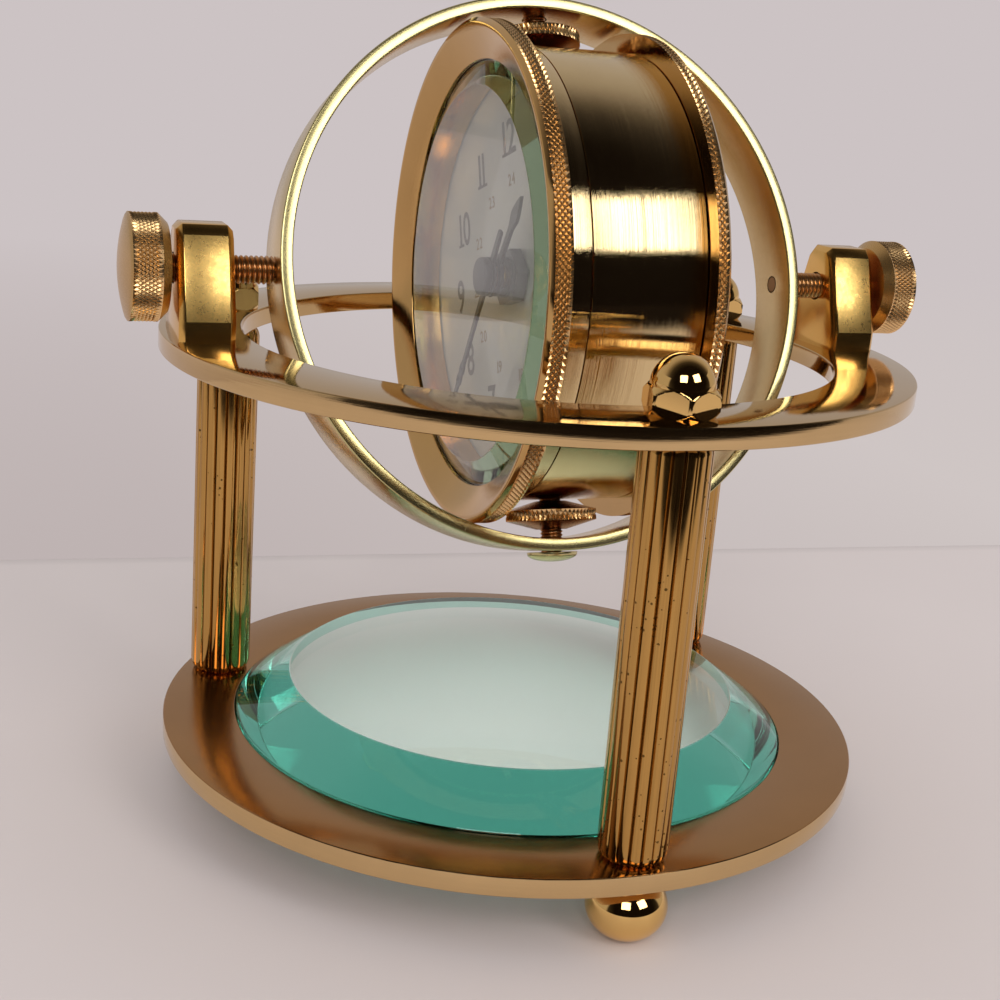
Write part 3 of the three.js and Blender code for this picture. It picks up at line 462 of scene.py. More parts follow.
bm = lathe([(ledge_inner, 0), (base_radius, 0), (base_radius, ring_thickness), (base_inner, ring_thickness),
            (base_inner, ledge_height), (ledge_inner, ledge_height)], ring_steps,
           rounds=[((1, 2), 0.4), ((3,), 0.25)])
for face in bm.faces:
    if reach_of(face) > base_radius - rim_depth:
        face.material_index = 1
    # Painted shade: the inner wall and the ledge take the dark ledge finish.
    elif reach_of(face) < base_inner + 0.02 and face.calc_center_median().z < ring_thickness - 0.3:
        face.material_index = 2
base = finished(bm, "base_ring_turned", (satin_ring, brushed_rim, shaded_ledge_brass),
                Matrix.Translation((0, 0, base_bottom)))
dress(base, "stand", "satin_brass", "base_ring")
bm = lathe(washer(top_inner, top_radius, 0, ring_thickness), ring_steps,
           rounds=[((1, 2), 0.4), ((0, 3), 0.3)])
for face in bm.faces:
    face.material_index = int(reach_of(face) > top_radius - rim_depth)
top = finished(bm, "top_ring_turned", (polished_ring, brushed_rim), Matrix.Translation((0, 0, top_bottom)))
dress(top, "stand", "polished_brass", "top_ring")

# %% [markdown]
# ## Base glass
# A thick disc of float glass with a wide polished bevel lies on the ledge. Its green is the iron in
# the glass, so it deepens with the path of the light: a volume absorption gives that, where a tinted
# surface would be the same all over. The bevel's surface is still tinted a deeper green, as a painted
# tint for the light that crosses it sideways. Shadow rays pass through, or the table under it would be black.

# %% Glass
def glass(name, absorbed, density, shadow, edge=None):
    """A clear finish that absorbs with depth. Edge gives (radius, tint) for a painted tint on the surface
    beyond that radius, which stands for the longer path of light there.
    """
    finish, wire, shader = new_finish(name, Transmission_Weight=1.0, IOR=1.5, Base_Color=(1, 1, 1, 1))
    where = wire.node("TexCoord", output="Object")
    wire.join(where.noise(45, 4).ramp(0.55, 0.8, 0.03), shader.inputs["Roughness"])
    if edge:
        inner, tint = edge
        x, y, _ = where.parts()
        reach = wire.maths("SQRT", x * x + y * y)
        outside = reach.ramp(inner, inner + 0.3 * millimetre)
        wire.join(outside.blend((1, 1, 1, 1), tint), shader.inputs["Base Color"])
    shadow_ray, = wire.ray("Is Shadow Ray")
    clear = wire.node("BsdfTransparent", {"Color": shadow})
    both = wire.node("MixShader", {0: shadow_ray, 1: Wire(wire.tree, shader.outputs[0]), 2: clear})
    output = wire.tree.nodes["Material Output"]
    wire.join(both, output.inputs["Surface"])
    wire.join(wire.node("VolumeAbsorption", {"Color": absorbed, "Density": density}), output.inputs["Volume"])
    return finish


glass_radius, glass_height, glass_side, glass_lift = base_inner - 0.3, 10.9, 2.6, 0.03
flat_radius = glass_radius - 12
# Painted tint: the bevel beyond the flat top is coloured a deeper green, for light that crosses it sideways.
base_glass = glass("green_base_glass", (0.05, 0.72, 0.62, 1), 8.0, (0.98, 1.0, 0.99, 1),
                   (flat_radius * millimetre, (0.30, 0.70, 0.59, 1)))
bm = lathe([(0, glass_lift), (glass_radius, glass_lift), (glass_radius, glass_side),
            (flat_radius, glass_height), (0, glass_height)], ring_steps, closed=False,
           rounds=[((1, 2), 0.25), ((3,), 0.2)])
disc = finished(bm, "bevelled_base_glass", (base_glass,),
                Matrix.Translation((0, 0, base_bottom + ledge_height)), 12)
dress(disc, "stand", "base_glass", "base_glass")

# %% [markdown]
# ## Feet
# Each foot is a slightly flattened polished ball, cut off where it stands and where it meets the ring.
# A squashed sphere cut by two planes is exactly that, and the cuts are closed again with faces.

# %% Feet
below, over = -1, 1


def closed_up(bm):
    """Fills every open rim of a bmesh with a face."""
    bmesh.ops.holes_fill(bm, edges=[edge for edge in bm.edges if edge.is_boundary], sides=0)


def trimmed(bm, height, side):
    """Cuts a bmesh at a height, drops what lies on that side and closes the cut."""
    bmesh.ops.bisect_plane(bm, geom=bm.verts[:] + bm.edges[:] + bm.faces[:], plane_co=(0, 0, height),
                           plane_no=(0, 0, side), clear_outer=True)
    closed_up(bm)


post_circle = 71.696
post_places = {}
for side, angle in (("front", -90), ("right", 30), ("left", 150)):
    post_places[side] = (post_circle * cos(radians(angle)), post_circle * sin(radians(angle)))
foot_radius, foot_flat, foot_squash = 8.25, 3.0, 0.86
foot_centre = foot_squash * sqrt(foot_radius ** 2 - foot_flat ** 2)
for side, (x, y) in post_places.items():
    bm = bmesh.new()
    squashed = Matrix.Translation((0, 0, foot_centre)) @ Matrix.Diagonal((1, 1, foot_squash, 1))
    bmesh.ops.create_uvsphere(bm, u_segments=64, v_segments=40, radius=foot_radius, matrix=squashed)
    smoothed(bm)
    trimmed(bm, 0.0, below)
    trimmed(bm, base_bottom, over)
    foot = finished(bm, "ball_foot_" + side, (mirror_brass,), Matrix.Translation((x, y, 0)))
    dress(foot, "stand", "polished_brass", "foot_" + side)

# %% [markdown]
# ## Reeded posts
# A post is a column with eighteen slightly rounded reeds between narrow grooves, drawn in at its ends.
# The section is a circle whose points are moved in at each groove, and the column grows from it ring
# by ring with the extrude operator, each ring scaled for the rounded ends.

# %% Posts
post_length, post_radius, reeds, reed_points = 83.9, 7.0, 18, 14
post_bottom = base_bottom + ring_thickness
end_rings = [(0.0, 5.9), (0.2, 6.18), (0.55, 6.48), (1.05, 6.74), (1.6, 6.91), (2.2, 7.0)]
post_rings = end_rings + [(post_length - z, r) for z, r in reversed(end_rings)]
slit, slot_side, slit_depth, slot_depth, reed_round = 0.02, 0.16, 0.6, 0.2, 0.2


def grown(bm, rim):
    """Extrudes a rim of edges once. Gives the new rim and its points."""
    geom = bmesh.ops.extrude_edge_only(bm, edges=rim)["geom"]
    edges = [part for part in geom if isinstance(part, bmesh.types.BMEdge)]
    return edges, [part for part in geom if isinstance(part, bmesh.types.BMVert)]


def reeded_post():
    """One post from its foot upwards, with the depth of its grooves as an attribute."""
    bm = bmesh.new()
    groove = bm.verts.layers.float.new("groove")
    bmesh.ops.create_circle(bm, segments=reeds * reed_points, radius=1.0)
    for point in bm.verts:
        share = atan2(point.co.y, point.co.x) / (2 * pi) * reeds
        off = abs(share - round(share)) * 2
        drop = reed_round * (1 - off) ** 2
        if off < slit:
            drop, point[groove] = slit_depth, 1.0
        elif off < slot_side:
            drop, point[groove] = drop + slot_depth, 0.45
        point.co *= 1 - drop / post_radius
    rim = bm.edges[:]
    bmesh.ops.scale(bm, vec=(post_rings[0][1],) * 2 + (1,), verts=bm.verts)
    for (low, inner), (high, outer) in zip(post_rings, post_rings[1:]):
        rim, points = grown(bm, rim)
        bmesh.ops.scale(bm, vec=(outer / inner, outer / inner, 1), verts=points)
        bmesh.ops.translate(bm, vec=(0, 0, high - low), verts=points)
    closed_up(bm)
    bmesh.ops.recalc_face_normals(bm, faces=bm.faces)
    return smoothed(bm)


for side, (x, y) in post_places.items():
    place = Matrix.Translation((x, y, post_bottom))
    post = finished(reeded_post(), "reeded_post_" + side, (post_brass,), place, 22)
    dress(post, "stand", "reeded_brass", "post_" + side)

# %% [markdown]
# ## Cap nuts
# A cap nut is a hexagon whose corners are turned down to a cone, which leaves an arc on each side,
# under a polished dome. Stacked rings give both: each point goes as far out as the hexagon and the
# cone let it, so the arcs appear where the two meet.

# %% Cap nuts
nut_flat, nut_height, dome_radius, nut_turn = 6.35, 5.2, 6.05, radians(20)
cone_low, cone_low_slope, cone_top, cone_top_slope = 6.4, 0.7, 6.3, 0.75
cone_heights = [0.1 * i for i in range(15)] + [nut_height - 1.4 + 0.1 * i for i in range(15)]
dome_arc = [pi * i / 32 for i in range(17)]
dome = [(dome_radius * cos(arc), nut_height + dome_radius * sin(arc)) for arc in dome_arc]


def nut_reach(angle, cone):
    """How far out the nut goes at an angle: to its flat side or to the cone, whichever is nearer."""
    return min(nut_flat / cos(angle % (pi / 3) - pi / 6), cone)


def cap_nut():
    """One cap nut from its seat upwards."""
    bm = bmesh.new()
    bmesh.ops.create_circle(bm, segments=120, radius=1.0)
    rim = bm.edges[:]
    for point in bm.verts:
        point.co *= nut_reach(atan2(point.co.y, point.co.x), cone_low)
    layers = []
    for high in cone_heights[1:]:
        under_top = cone_top + cone_top_slope * (nut_height - high)
        layers.append((min(cone_low + cone_low_slope * high, under_top), high))
    for cone, high in layers + [(dome_radius + 0.1, nut_height)] + dome:
        rim, points = grown(bm, rim)
        for point in points:
            angle = atan2(point.co.y, point.co.x)
            reach = nut_reach(angle, cone)
            point.co = (reach * cos(angle), reach * sin(angle), high)
    bmesh.ops.remove_doubles(bm, verts=bm.verts, dist=1e-4)
    closed_up(bm)
    bmesh.ops.recalc_face_normals(bm, faces=bm.faces)
    return smoothed(bm)


for side, (x, y) in post_places.items():
    place = Matrix.Translation((x, y, top_top)) @ Matrix.Rotation(nut_turn, 4, "Z")
    nut = finished(cap_nut(), "domed_cap_nut_" + side, (mirror_brass,), place, 20)
    dress(nut, "stand", "polished_brass", "cap_nut_" + side)

# %% [markdown]
# ## Pivot blocks
# Two tapered uprights carry the thumbscrews. Each is a flat outline pulled out to its width, with a
# wide bevel along both ends and a fine one on every edge. The bevel operator is run twice, wide on
# the ends first, and the foot is then cut flat. A cylinder and the Boolean modifier drill the hole.

# %% Blocks
def drilled(piece, holes):
    """Cuts round holes in a finished piece. A hole is (place, radius, length), in millimetres."""
    bm = bmesh.new()
    for place, radius, length in holes:
        bmesh.ops.create_cone(bm, cap_ends=True, segments=48, radius1=radius, radius2=radius, depth=length,
                              matrix=place)
    cutter = finished(bm, "cutter")
    cut = piece.modifiers.new("cut", "BOOLEAN")
    cut.operation, cut.object, cut.solver = "DIFFERENCE", cutter, "EXACT"
    shaped = bpy.data.meshes.new_from_object(piece.evaluated_get(bpy.context.evaluated_depsgraph_get()))
    piece.modifiers.clear()
    piece.data = shaped
    shaped.set_sharp_from_angle(angle=radians(28))
    bpy.data.objects.remove(cutter)


def filled(bm, points, pull):
    """A flat shape through points, pulled out along a vector to a solid."""
    face = bm.faces.new([bm.verts.new(point) for point in points])
    pulled = bmesh.ops.extrude_face_region(bm, geom=[face])["geom"]
    bmesh.ops.translate(bm, vec=pull, verts=[part for part in pulled if isinstance(part, bmesh.types.BMVert)])
    bmesh.ops.recalc_face_normals(bm, faces=bm.faces)


def bevelled(bm, edges, offset, segments):
    bmesh.ops.bevel(bm, geom=edges, offset=offset, offset_type="OFFSET", affect="EDGES", segments=segments,
                    profile=0.5, material=-1)


sides = (("left", -1), ("right", 1))
block_inner, block_width, stud_hole = 68.796, 11.4, 3.25
block_half = [(10.6, -3), (10.6, 4.4), (5.2, 20.9), (3.3, 22.9)]
block_outline = [(-10.6, -3)] + block_half + [(-y, z) for y, z in reversed(block_half[1:])]
block_centre = block_inner + block_width / 2
for side, sign in sides:
    bm = bmesh.new()
    filled(bm, [(-block_width / 2, y, z) for y, z in block_outline], (block_width, 0, 0))
    bevelled(bm, [edge for edge in bm.edges if abs(edge.verts[0].co.x - edge.verts[1].co.x) < 1e-6], 1.2, 1)
    creases = [edge for edge in bm.edges if edge.is_manifold and edge.calc_face_angle() > radians(30)]
    bevelled(bm, creases, 0.14, 2)
    trimmed(bm, 0.0, below)
    for face in smoothed(bm).faces:
        slope = 0.2 < face.normal.z < 0.5 and abs(face.normal.x) < 0.1
        face.material_index = 0 if slope else 1
    block = finished(bm, "pivot_block_cut_" + side, (block_brass, block_polish),
                     Matrix.Translation((sign * block_centre, 0, top_top)), 30)
    hole = pivots @ Matrix.Translation((sign * block_centre, 0, 0)) @ Matrix.Rotation(pi / 2, 4, "Y")
    drilled(block, [(hole, stud_hole, 20)])
    dress(block, "stand", "reeded_brass", "pivot_block_" + side)

# %% [markdown]
# ## Knurling
# A knurl is a mesh of small diamonds pressed into a turned rim. A bump texture would look flat at the
# edge of the rim, so the diamonds are real: the rim is spun with one step for every half diamond,
# every second point is pushed in, and each square is split along its two low points. The points on
# the two borders stay, so the knurl ends in a clean edge.

# %% Knurl
def knurled(outline, at, rows, columns, depth, rounds=()):
    """Spins a closed outline whose side after point number at is knurled."""
    near = 0.01
    (radius, start), (_, end) = outline[at], outline[at + 1]
    step = (end - start) / rows
    low, high = min(start, end), max(start, end)
    more = [(radius, start + step * i) for i in range(1, rows)]
    full = outline[: at + 1] + more + outline[at + 1:]
    moved = [([i if i <= at else i + rows - 1 for i in corners], size) for corners, size in rounds]
    bm = lathe(full, columns, rounds=moved)
    groove = bm.verts.layers.float.new("groove")
    spots = {}
    for point in bm.verts:
        inside = low - near < point.co.z < high + near
        if inside and abs(hypot(point.co.x, point.co.y) - radius) < near:
            around = round(atan2(point.co.y, point.co.x) * columns / (2 * pi))
            along = round((point.co.z - start) / step)
            spots[point] = (around + along) % 2
    for face in [face for face in bm.faces if all(point in spots for point in face.verts)]:
        lows = [point for point in face.verts if spots[point]]
        bmesh.utils.face_split(face, lows[0], lows[1])
    for face in bm.faces:
        face.smooth = not all(point in spots for point in face.verts)
        face.material_index = 0 if face.smooth else 1
    for point, low_point in spots.items():
        if low_point and low + near < point.co.z < high - near:
            point.co.xy *= 1 - depth / radius
            point[groove] = 1.0
    return bm


print("knurl ready")

# %% [markdown]
# ## Thumbscrews
# Each thumbscrew has a knurled knob with a slightly domed face, and a threaded stud that passes
# through its block to the pivot of the ring. The thread is one V-shaped ridge with a narrow crest:
# three short edges are spun with a rise at each step, which the spin operator takes as a vector.

# %% Thumbscrews
def thread(radius, pitch, low, high, depth):
    """A threaded rod: a V spun upwards along the axis, then trimmed and closed."""
    per_turn = 28
    turns = int((high - low) / pitch) + 3
    crest, root = radius - 0.06, radius - depth
    bm = bmesh.new()
    shape = [(root, 0), (crest, 0.42 * pitch), (crest, 0.58 * pitch), (root, pitch)]
    points = [bm.verts.new((r, 0, low - 1.5 * pitch + z)) for r, z in shape]
    edges = [bm.edges.new(pair) for pair in zip(points, points[1:])]
    bmesh.ops.spin(bm, geom=points + edges, axis=(0, 0, 1), cent=(0, 0, 0), angle=2 * pi * turns,
                   steps=per_turn * turns, dvec=(0, 0, pitch / per_turn), use_merge=False)
    bmesh.ops.remove_doubles(bm, verts=bm.verts, dist=1e-3)
    trimmed(bm, low, below)
    trimmed(bm, high, over)
    bmesh.ops.recalc_face_normals(bm, faces=bm.faces)
    groove = bm.verts.layers.float.new("groove")
    for point in bm.verts:
        point[groove] = min(1, max(0, (crest - hypot(point.co.x, point.co.y)) / (crest - root)))
    return smoothed(bm)


knob_inner = block_inner + block_width + 1.4
knob_radius, knob_rim, face_edge, face_rise = 10.9, 7.6, 0.2, 1.7
stud_radius, stud_pitch, stud_start, stud_in_knob = 3.0, 1.05, 60.146, 2
knob_outline = [(0, 0), (9.1, 0), (knob_radius, 1.8), (knob_radius, knob_rim),
                (knob_radius - 0.45, knob_rim + 0.3)]
for share in (1 - i / 10 for i in range(1, 11)):
    knob_outline.append((knob_radius * share, knob_rim + face_edge + face_rise * (1 - share ** 2)))
for side, sign in sides:
    outwards = pivots @ Matrix.Rotation(sign * pi / 2, 4, "Y")
    bm = knurled(knob_outline, 2, 8, 152, 0.3)
    knob = finished(bm, "thumbscrew_head_" + side, (knob_face, knurl_brass),
                    outwards @ Matrix.Translation((0, 0, knob_inner)))
    dress(knob, "thumbscrew_" + side, "knurled_brass", "thumbscrew_knob_" + side)
    bm = thread(stud_radius, stud_pitch, stud_start, knob_inner + stud_in_knob, 0.5)
    stud = finished(bm, "threaded_stud_" + side, (thread_brass,), outwards)
    dress(stud, "thumbscrew_" + side, "threaded_brass", "thumbscrew_stud_" + side)

# %% [markdown]
# ## Gimbal ring
# A flat band of brass, turned all over, with rounded edges that catch light along both rims. Two
# pins and two pivot screws pass through it, so it is drilled four times.

# %% Gimbal ring
ring_inner, ring_outer, ring_half = 57.146, 59.846, 7.65
ring_middle, pin_hole, screw_hole, drum_steps = 58.5, 1.95, 2.75, 288
bm = lathe(washer(ring_inner, ring_outer, -ring_half, ring_half), drum_steps, rounds=[((0, 1, 2, 3), 0.5)])
for face in bm.faces:
    face.material_index = int(abs(face.normal.z) < 0.2)
band = finished(bm, "gimbal_band", (gimbal_brass, gimbal_band), ring_place)
holes = []
for _, sign in sides:
    pin_place = pivots @ Matrix.Translation((sign * ring_middle, 0, 0)) @ Matrix.Rotation(pi / 2, 4, "Y")
    holes.append((pin_place, pin_hole, 8))
for _, sign in sides:
    holes.append((tilting @ Matrix.Translation((0, 0, sign * ring_middle)), screw_hole, 8))
drilled(band, holes)
dress(band, "gimbal", "satin_brass", "gimbal_ring")

# %% [markdown]
# ## Pivot screws and lock nuts
# A screw with a low domed head goes through the ring into the drum above and below, and a thin
# knurled nut on it, shaped like two cones, is turned against the drum to lock it.

# %% Pivot screws
head_seat, head_radius, head_side, head_dome = 60.146, 5.5, 0.35, 1.75
head = [(0, head_seat), (head_radius, head_seat)]
for arc in (pi * i / 24 for i in range(13)):
    head.append((head_radius * cos(arc), head_seat + head_side + head_dome * sin(arc)))
rod_radius, rod_pitch, rod_start, rod_in_head = 2.5, 0.8, 44.4, 0.1
nut_seat, nut_face, nut_rim = 49.0, 3.4, 9.9
nut_outline = [(screw_hole, nut_seat), (nut_face, nut_seat), (nut_rim, nut_seat + 1.9),
               (nut_rim, nut_seat + 4.3), (nut_face, nut_seat + 6.2), (screw_hole, nut_seat + 6.2)]
for side, turn in (("upper", 0), ("lower", pi)):
    place = tilting @ Matrix.Rotation(turn, 4, "X")
    bm = lathe(head, 64, closed=False)
    bm.verts.layers.float.new("groove")
    rod_mesh = bpy.data.meshes.new("rod")
    rod = thread(rod_radius, rod_pitch, rod_start, head_seat + rod_in_head, 0.4)
    for face in rod.faces:
        face.material_index = 1
    rod.to_mesh(rod_mesh)
    rod.free()
    bm.from_mesh(rod_mesh)
    bpy.data.meshes.remove(rod_mesh)
    screw = finished(bm, "pivot_screw_turned_" + side, (gimbal_brass, thread_brass), place)
    dress(screw, "drum", "polished_brass", "pivot_screw_" + side)
    bm = knurled(nut_outline, 2, 3, 120, 0.35)
    nut = finished(bm, "lock_nut_turned_" + side, (dark_nut, knurl_brass), place)
    dress(nut, "lock_nut_" + side, "knurled_brass", "lock_nut_" + side)

# %% [markdown]
# ## Drum
# The drum is a polished tube between two bezels. The front bezel screws over it with a deep funnel
# down to the glass and a knurled rim, and the rear bezel has a thinner knurled rim and holds the back
# cover. All of them are turned outlines, so the light runs round them in unbroken bands.

# %% Drum
case_radius, case_middle, case_inner = 48.7, 46.5, 44.2
bm = lathe([(case_inner, -15.1), (case_radius, -15.1), (case_radius, 9.0), (46.9, 9.0), (46.9, 12.0),
            (45.6, 12.0), (45.6, 4.3), (case_inner, 4.3)], drum_steps, rounds=[((1,), 0.2), ((2,), 0.06)])
tube = finished(bm, "drum_tube", (drum_brass,), drum_place)
spots = [tilting @ Matrix.Translation((0, 0, sign * case_middle)) for _, sign in sides]
drilled(tube, [(spot, screw_hole, 10) for spot in spots])
dress(tube, "drum", "polished_brass", "case_tube")

knurl_columns, skirt_top = 480, 15.0
bezel_outline = [(47.2, 9.3), (case_radius, 9.3), (case_radius, skirt_top), (53.4, skirt_top), (53.4, 18.6),
                 (52.6, 19.4), (51.8, 19.4), (45.25, 16.4), (45.25, 15.7), (47.2, 15.7)]
bm = knurled(bezel_outline, 3, 6, knurl_columns, 0.55, rounds=[((5, 6), 0.25), ((7,), 0.15), ((1,), 0.06)])
for face in bm.faces:
    if face.calc_center_median().z < skirt_top + 0.1 and reach_of(face) > 47.5:
        face.material_index = 2
bezel = finished(bm, "front_bezel_knurled", (bezel_brass, knurl_brass, drum_brass), drum_place)
dress(bezel, "front_bezel", "knurled_brass", "front_bezel")

rear_outline = [(42.0, -11.8), (43.9, -11.8), (43.9, -15.3), (52.7, -15.3), (52.7, -17.6), (51.9, -18.4),
                (39.5, -18.4), (39.5, -17.0), (42.0, -17.0)]
bm = knurled(rear_outline, 3, 4, knurl_columns, 0.5, rounds=[((5,), 0.25), ((6,), 0.3)])
rear = finished(bm, "rear_bezel_knurled", (bezel_brass, knurl_brass), drum_place)
dress(rear, "rear_bezel", "knurled_brass", "rear_bezel")

inner_steps = 192
bm = lathe(washer(0, 41.7, -16.8, -15.4), inner_steps, closed=False, rounds=[((1, 2), 0.2)])
cover = finished(bm, "turned_back_cover", (bezel_brass,), drum_place)
dress(cover, "rear_bezel", "satin_brass", "back_cover")

# %% [markdown]
# ## Clock glass
# The glass over the dial is thick, with a bevelled edge that shows as a green band where the light
# crosses it sideways. The function for the base glass makes its finish too, with a greyer tint.

# %% Clock glass
clear_glass = glass("clear_clock_glass", (0.19, 0.44, 0.13, 1), 16.0, (0.97, 1.0, 0.99, 1))
bm = lathe([(0, 13.2), (46.9, 13.2), (46.9, 15.5), (44.95, 15.5), (39.95, 17.6), (0, 17.6)], ring_steps,
           closed=False, rounds=[((4,), 0.2)])
crystal = finished(bm, "bevelled_clock_glass", (clear_glass,), drum_place, 12)
dress(crystal, "drum", "clock_glass", "clock_glass")

# %% [markdown]
# ## Dial
# The dial is pale grey with a soft sheen. Its hours are slim dark figures on a ring, with the small
# afternoon hours inside them. Text objects draw the figures, and each is made a mesh before it is
# put in its place, so that the whole print is one thin piece on the dial.

# %% Dial
def speckled(name, dark, light, gloss, spread, scale, detail, strength=0.0, depth=0.03, **constants):
    """A finish with one fine noise in its colour, its gloss and, where strength is given, its surface."""
    finish, wire, shader = new_finish(name, **constants)
    where = wire.node("TexCoord", output="Object")
    noise = where.noise(scale, detail)
    wire.join(noise.blend(dark, light), shader.inputs["Base Color"])
    wire.join(gloss + noise * spread, shader.inputs["Roughness"])
    if strength:
        bump = {"Height": noise, "Strength": strength, "Distance": depth * millimetre}
        wire.join(wire.node("Bump", bump), shader.inputs["Normal"])
    return finish


dial_tone = colour(186, 182, 178)
pale_dial = speckled("pale_dial", shade(dial_tone, 0.95), shade(dial_tone, 1.03), 0.32, 0.08, 900, 3,
                     0.05, 0.02, Coat_Weight=0.6, Coat_Roughness=0.04)
figure_ink = speckled("hour_ink", colour(70, 66, 66), colour(92, 86, 84), 0.5, 0.0, 2500, 2)
afternoon_ink = speckled("afternoon_ink", colour(120, 96, 66), colour(142, 116, 82), 0.5, 0.0, 2500, 2)
dial_radius, ink_level = 45.35, 5.53
dial = finished(lathe(washer(4.6, dial_radius, 4.5, 5.5), inner_steps), "dial_disc", (pale_dial,), drum_place)
dress(dial, "drum", "dial", "dial")
sign_gap, foot_width, foot_height, ink_depth = 0.12, 0.34, 0.06, 0.03


def figure(text, size, weight):
    """One upright number about the origin. Its signs are text, and each 1 stands on a short foot."""
    drawn, reach = bmesh.new(), 0.0
    for sign in text:
        line = bpy.data.curves.new("sign", "FONT")
        line.body, line.size, line.align_y = sign, size, "CENTER"
        line.extrude, line.offset, line.resolution_u = ink_depth / 2, weight, 4
        written = bpy.data.objects.new("sign", line)
        scene.collection.objects.link(written)
        bpy.context.view_layer.update()
        mesh = bpy.data.meshes.new_from_object(written.evaluated_get(bpy.context.evaluated_depsgraph_get()))
        low, high = min(v.co.x for v in mesh.vertices), max(v.co.x for v in mesh.vertices)
        foot = min(v.co.y for v in mesh.vertices)
        mesh.transform(Matrix.Translation((reach - low, 0, 0)))
        drawn.from_mesh(mesh)
        if sign == "1":
            spot = Matrix.Translation((reach + (high - low) * 0.68, foot + foot_height / 2 * size, 0))
            bar = Matrix.Diagonal((foot_width * size, foot_height * size, ink_depth, 1))
            bmesh.ops.create_cube(drawn, size=1, matrix=spot @ bar)
        reach += high - low + sign_gap * size
        bpy.data.objects.remove(written)
        bpy.data.meshes.remove(mesh)
    bmesh.ops.translate(drawn, vec=((sign_gap * size - reach) / 2, 0, 0), verts=drawn.verts)
    return drawn


def figures(name, ink, texts, radius, size, slim, weight):
    """One piece of upright figures at a radius on the dial, the first at the top."""
    joined = bmesh.new()
    for place, text in enumerate(texts):
        drawn = figure(text, size, weight)
        angle = pi / 2 - 2 * pi * place / len(texts)
        spot = Matrix.Translation((radius * cos(angle), radius * sin(angle), ink_level))
        bmesh.ops.transform(drawn, matrix=spot @ Matrix.Diagonal((slim, 1, 1, 1)), verts=drawn.verts)
        mesh = bpy.data.meshes.new(name)
        drawn.to_mesh(mesh)
        drawn.free()
        joined.from_mesh(mesh)
        bpy.data.meshes.remove(mesh)
    piece = finished(joined, name, (ink,), drum_place)
    dress(piece, "drum", "dial")


hours = ["12"] + [str(n) for n in range(1, 12)]
late_hours = ["24"] + [str(n) for n in range(13, 24)]
figures("hour_figures", figure_ink, hours, 29.6, 10.6, 0.8, 0.12)
figures("afternoon_figures", afternoon_ink, late_hours, 20.8, 3.6, 0.85, 0.02)
bm = lathe([(42.6, 5.7), (dial_radius, 5.7), (dial_radius, 13.0), (44.3, 13.0)], inner_steps,
           rounds=[((0, 3), 0.2)])
dial_ring = finished(bm, "dial_ring_turned", (bezel_brass,), drum_place)
dress(dial_ring, "drum", "steel", "dial_ring")

# %% [markdown]
# ## Hands
# The hour hand ends in a leaf, the minute hand is slim and pierced near its tip, and a dark cap covers
# both on their arbor. They are flat pressed steel: an outline of a few points, filled, pulled out to
# its thickness and drilled. The hour hand's angle follows from the minute hand's.

# %% Hands
hand_steel = speckled("dark_hands", colour(58, 58, 62), colour(82, 82, 86), 0.3, 0.12, 1500, 2, Metallic=0.85)
hub_radius, hand_thickness, minute_angle = 4.2, 0.5, 225
hour_angle = 30 + minute_angle / 12


def hand(name, half_width, tail, blade, level, angle, holes):
    """A flat hand that points to an angle past twelve. The blade is its right half, from hub to tip, and
    each hole is (distance from the arbor, radius)."""
    place = drum_place @ Matrix.Rotation(-radians(angle), 4, "Z") @ Matrix.Translation((0, 0, level))
    hub = [(hub_radius * cos(radians(a)), hub_radius * sin(radians(a))) for a in range(-78, 79, 12)]
    half = [(half_width, -tail)] + [(x, y) for x, y in hub if x > half_width] + [(half_width, 9.0)] + blade
    left = [(-x, y) for x, y in reversed(half) if x > 0]
    bm = bmesh.new()
    filled(bm, [(x, y, 0) for x, y in half + left], (0, 0, hand_thickness))
    piece = finished(bm, name, (hand_steel,), place)
    drilled(piece, [(place @ Matrix.Translation((0, out, 0)), radius, 4) for out, radius in holes])
    return piece


hour_blade = [(0.75, 13.0), (1.25, 14.4), (1.7, 15.7), (1.35, 17.4), (0.6, 19.6), (0, 21.0)]
hour = hand("hour_hand_leaf", 0.75, 5.0, hour_blade, 8.6, hour_angle, [(0, 2.65)])
dress(hour, "hour_hand_set", "hands", "hour_hand")
minute_blade = [(0.65, 23.6), (1.1, 24.6), (1.1, 25.8), (0.75, 26.6), (1.05, 27.6), (1.05, 28.8), (0.6, 29.8),
                (0.5, 33.0), (0, 35.0)]
minute = hand("minute_hand_pierced", 0.65, 11.5, minute_blade, 9.8, minute_angle,
              [(0, 1.45), (25.2, 0.65), (28.2, 0.6)])
dress(minute, "minute_hand_set", "hands", "minute_hand")
bm = lathe(washer(0, 4.1, 10.5, 11.9), 64, closed=False, rounds=[((2,), 0.5), ((1,), 0.1)])
cap = finished(bm, "hand_cap_turned", (hand_steel,), drum_place)
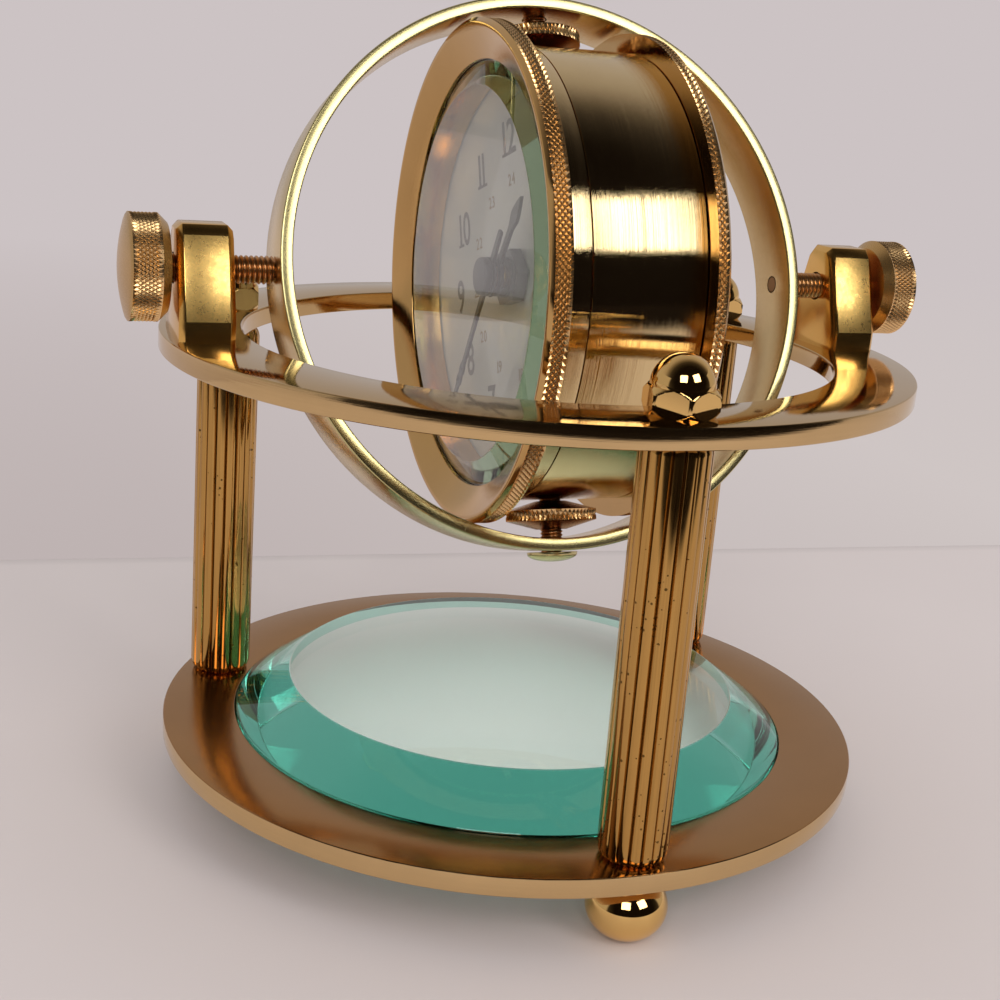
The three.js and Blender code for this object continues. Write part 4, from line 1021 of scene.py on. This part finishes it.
dress(cap, "minute_hand_set", "hands", "hand_cap")

# %% [markdown]
# ## Inner pieces
# The rods, screws and the movement are right as they are in the CAD frame, so they stay, and only get
# finishes of their own: steel, moulded plastic, gear brass, copper winding and a printed board.

# %% Inner finishes
def plain(name, tone, gloss, metallic, scale, coat=0.0):
    """A speckled finish about one tone and one gloss."""
    spread = 0.15
    return speckled(name, shade(tone, 0.82), shade(tone, 1.1), gloss - spread / 2, spread, scale, 4, 0.15,
                    Metallic=metallic, Coat_Weight=coat)


inner = {
    plain("turned_steel", colour(176, 174, 170), 0.3, 1.0, 400): [
        "tie_rod_front", "tie_rod_right", "tie_rod_left", "block_screw_left", "block_screw_right", "rotor",
        "battery_contact_left", "battery_contact_right", "stator"],
    plain("gear_brass", colour(214, 176, 104), 0.25, 1.0, 600): [
        "cannon_arbor", "centre_wheel", "third_wheel", "fourth_wheel", "step_wheel", "minute_wheel",
        "hour_wheel"],
    plain("pin_brass", colour(150, 112, 68), 0.3, 1.0, 500): ["pivot_pin_left", "pivot_pin_right"],
    plain("blackened_steel", colour(78, 78, 82), 0.35, 0.8, 600): ["dial_nut"],
    plain("moulded_plastic", colour(34, 34, 36), 0.5, 0.0, 1200): [
        "setting_knob", "movement_front_case", "movement_back_case"],
    plain("gasket_rubber", colour(36, 38, 36), 0.7, 0.0, 900): ["glass_gasket"],
    plain("cell_wrap", colour(116, 120, 126), 0.3, 0.6, 250, 0.3): ["battery"],
    plain("coil_copper", colour(196, 116, 70), 0.3, 1.0, 1800): ["coil"],
    plain("printed_board", colour(48, 104, 60), 0.45, 0.0, 500, 0.4): ["circuit_board"],
}
for finish, names in inner.items():
    for name in names:
        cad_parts[name].data.materials.clear()
        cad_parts[name].data.materials.append(finish)
    print(finish.name, "on", len(names), "nodes")

# %% [markdown]
# ## Size
# The box of the dressed clock is printed.

# %% Size and finish
low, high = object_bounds()
print("visual box", [round(x * 1000, 2) for x in (*low, *high)])
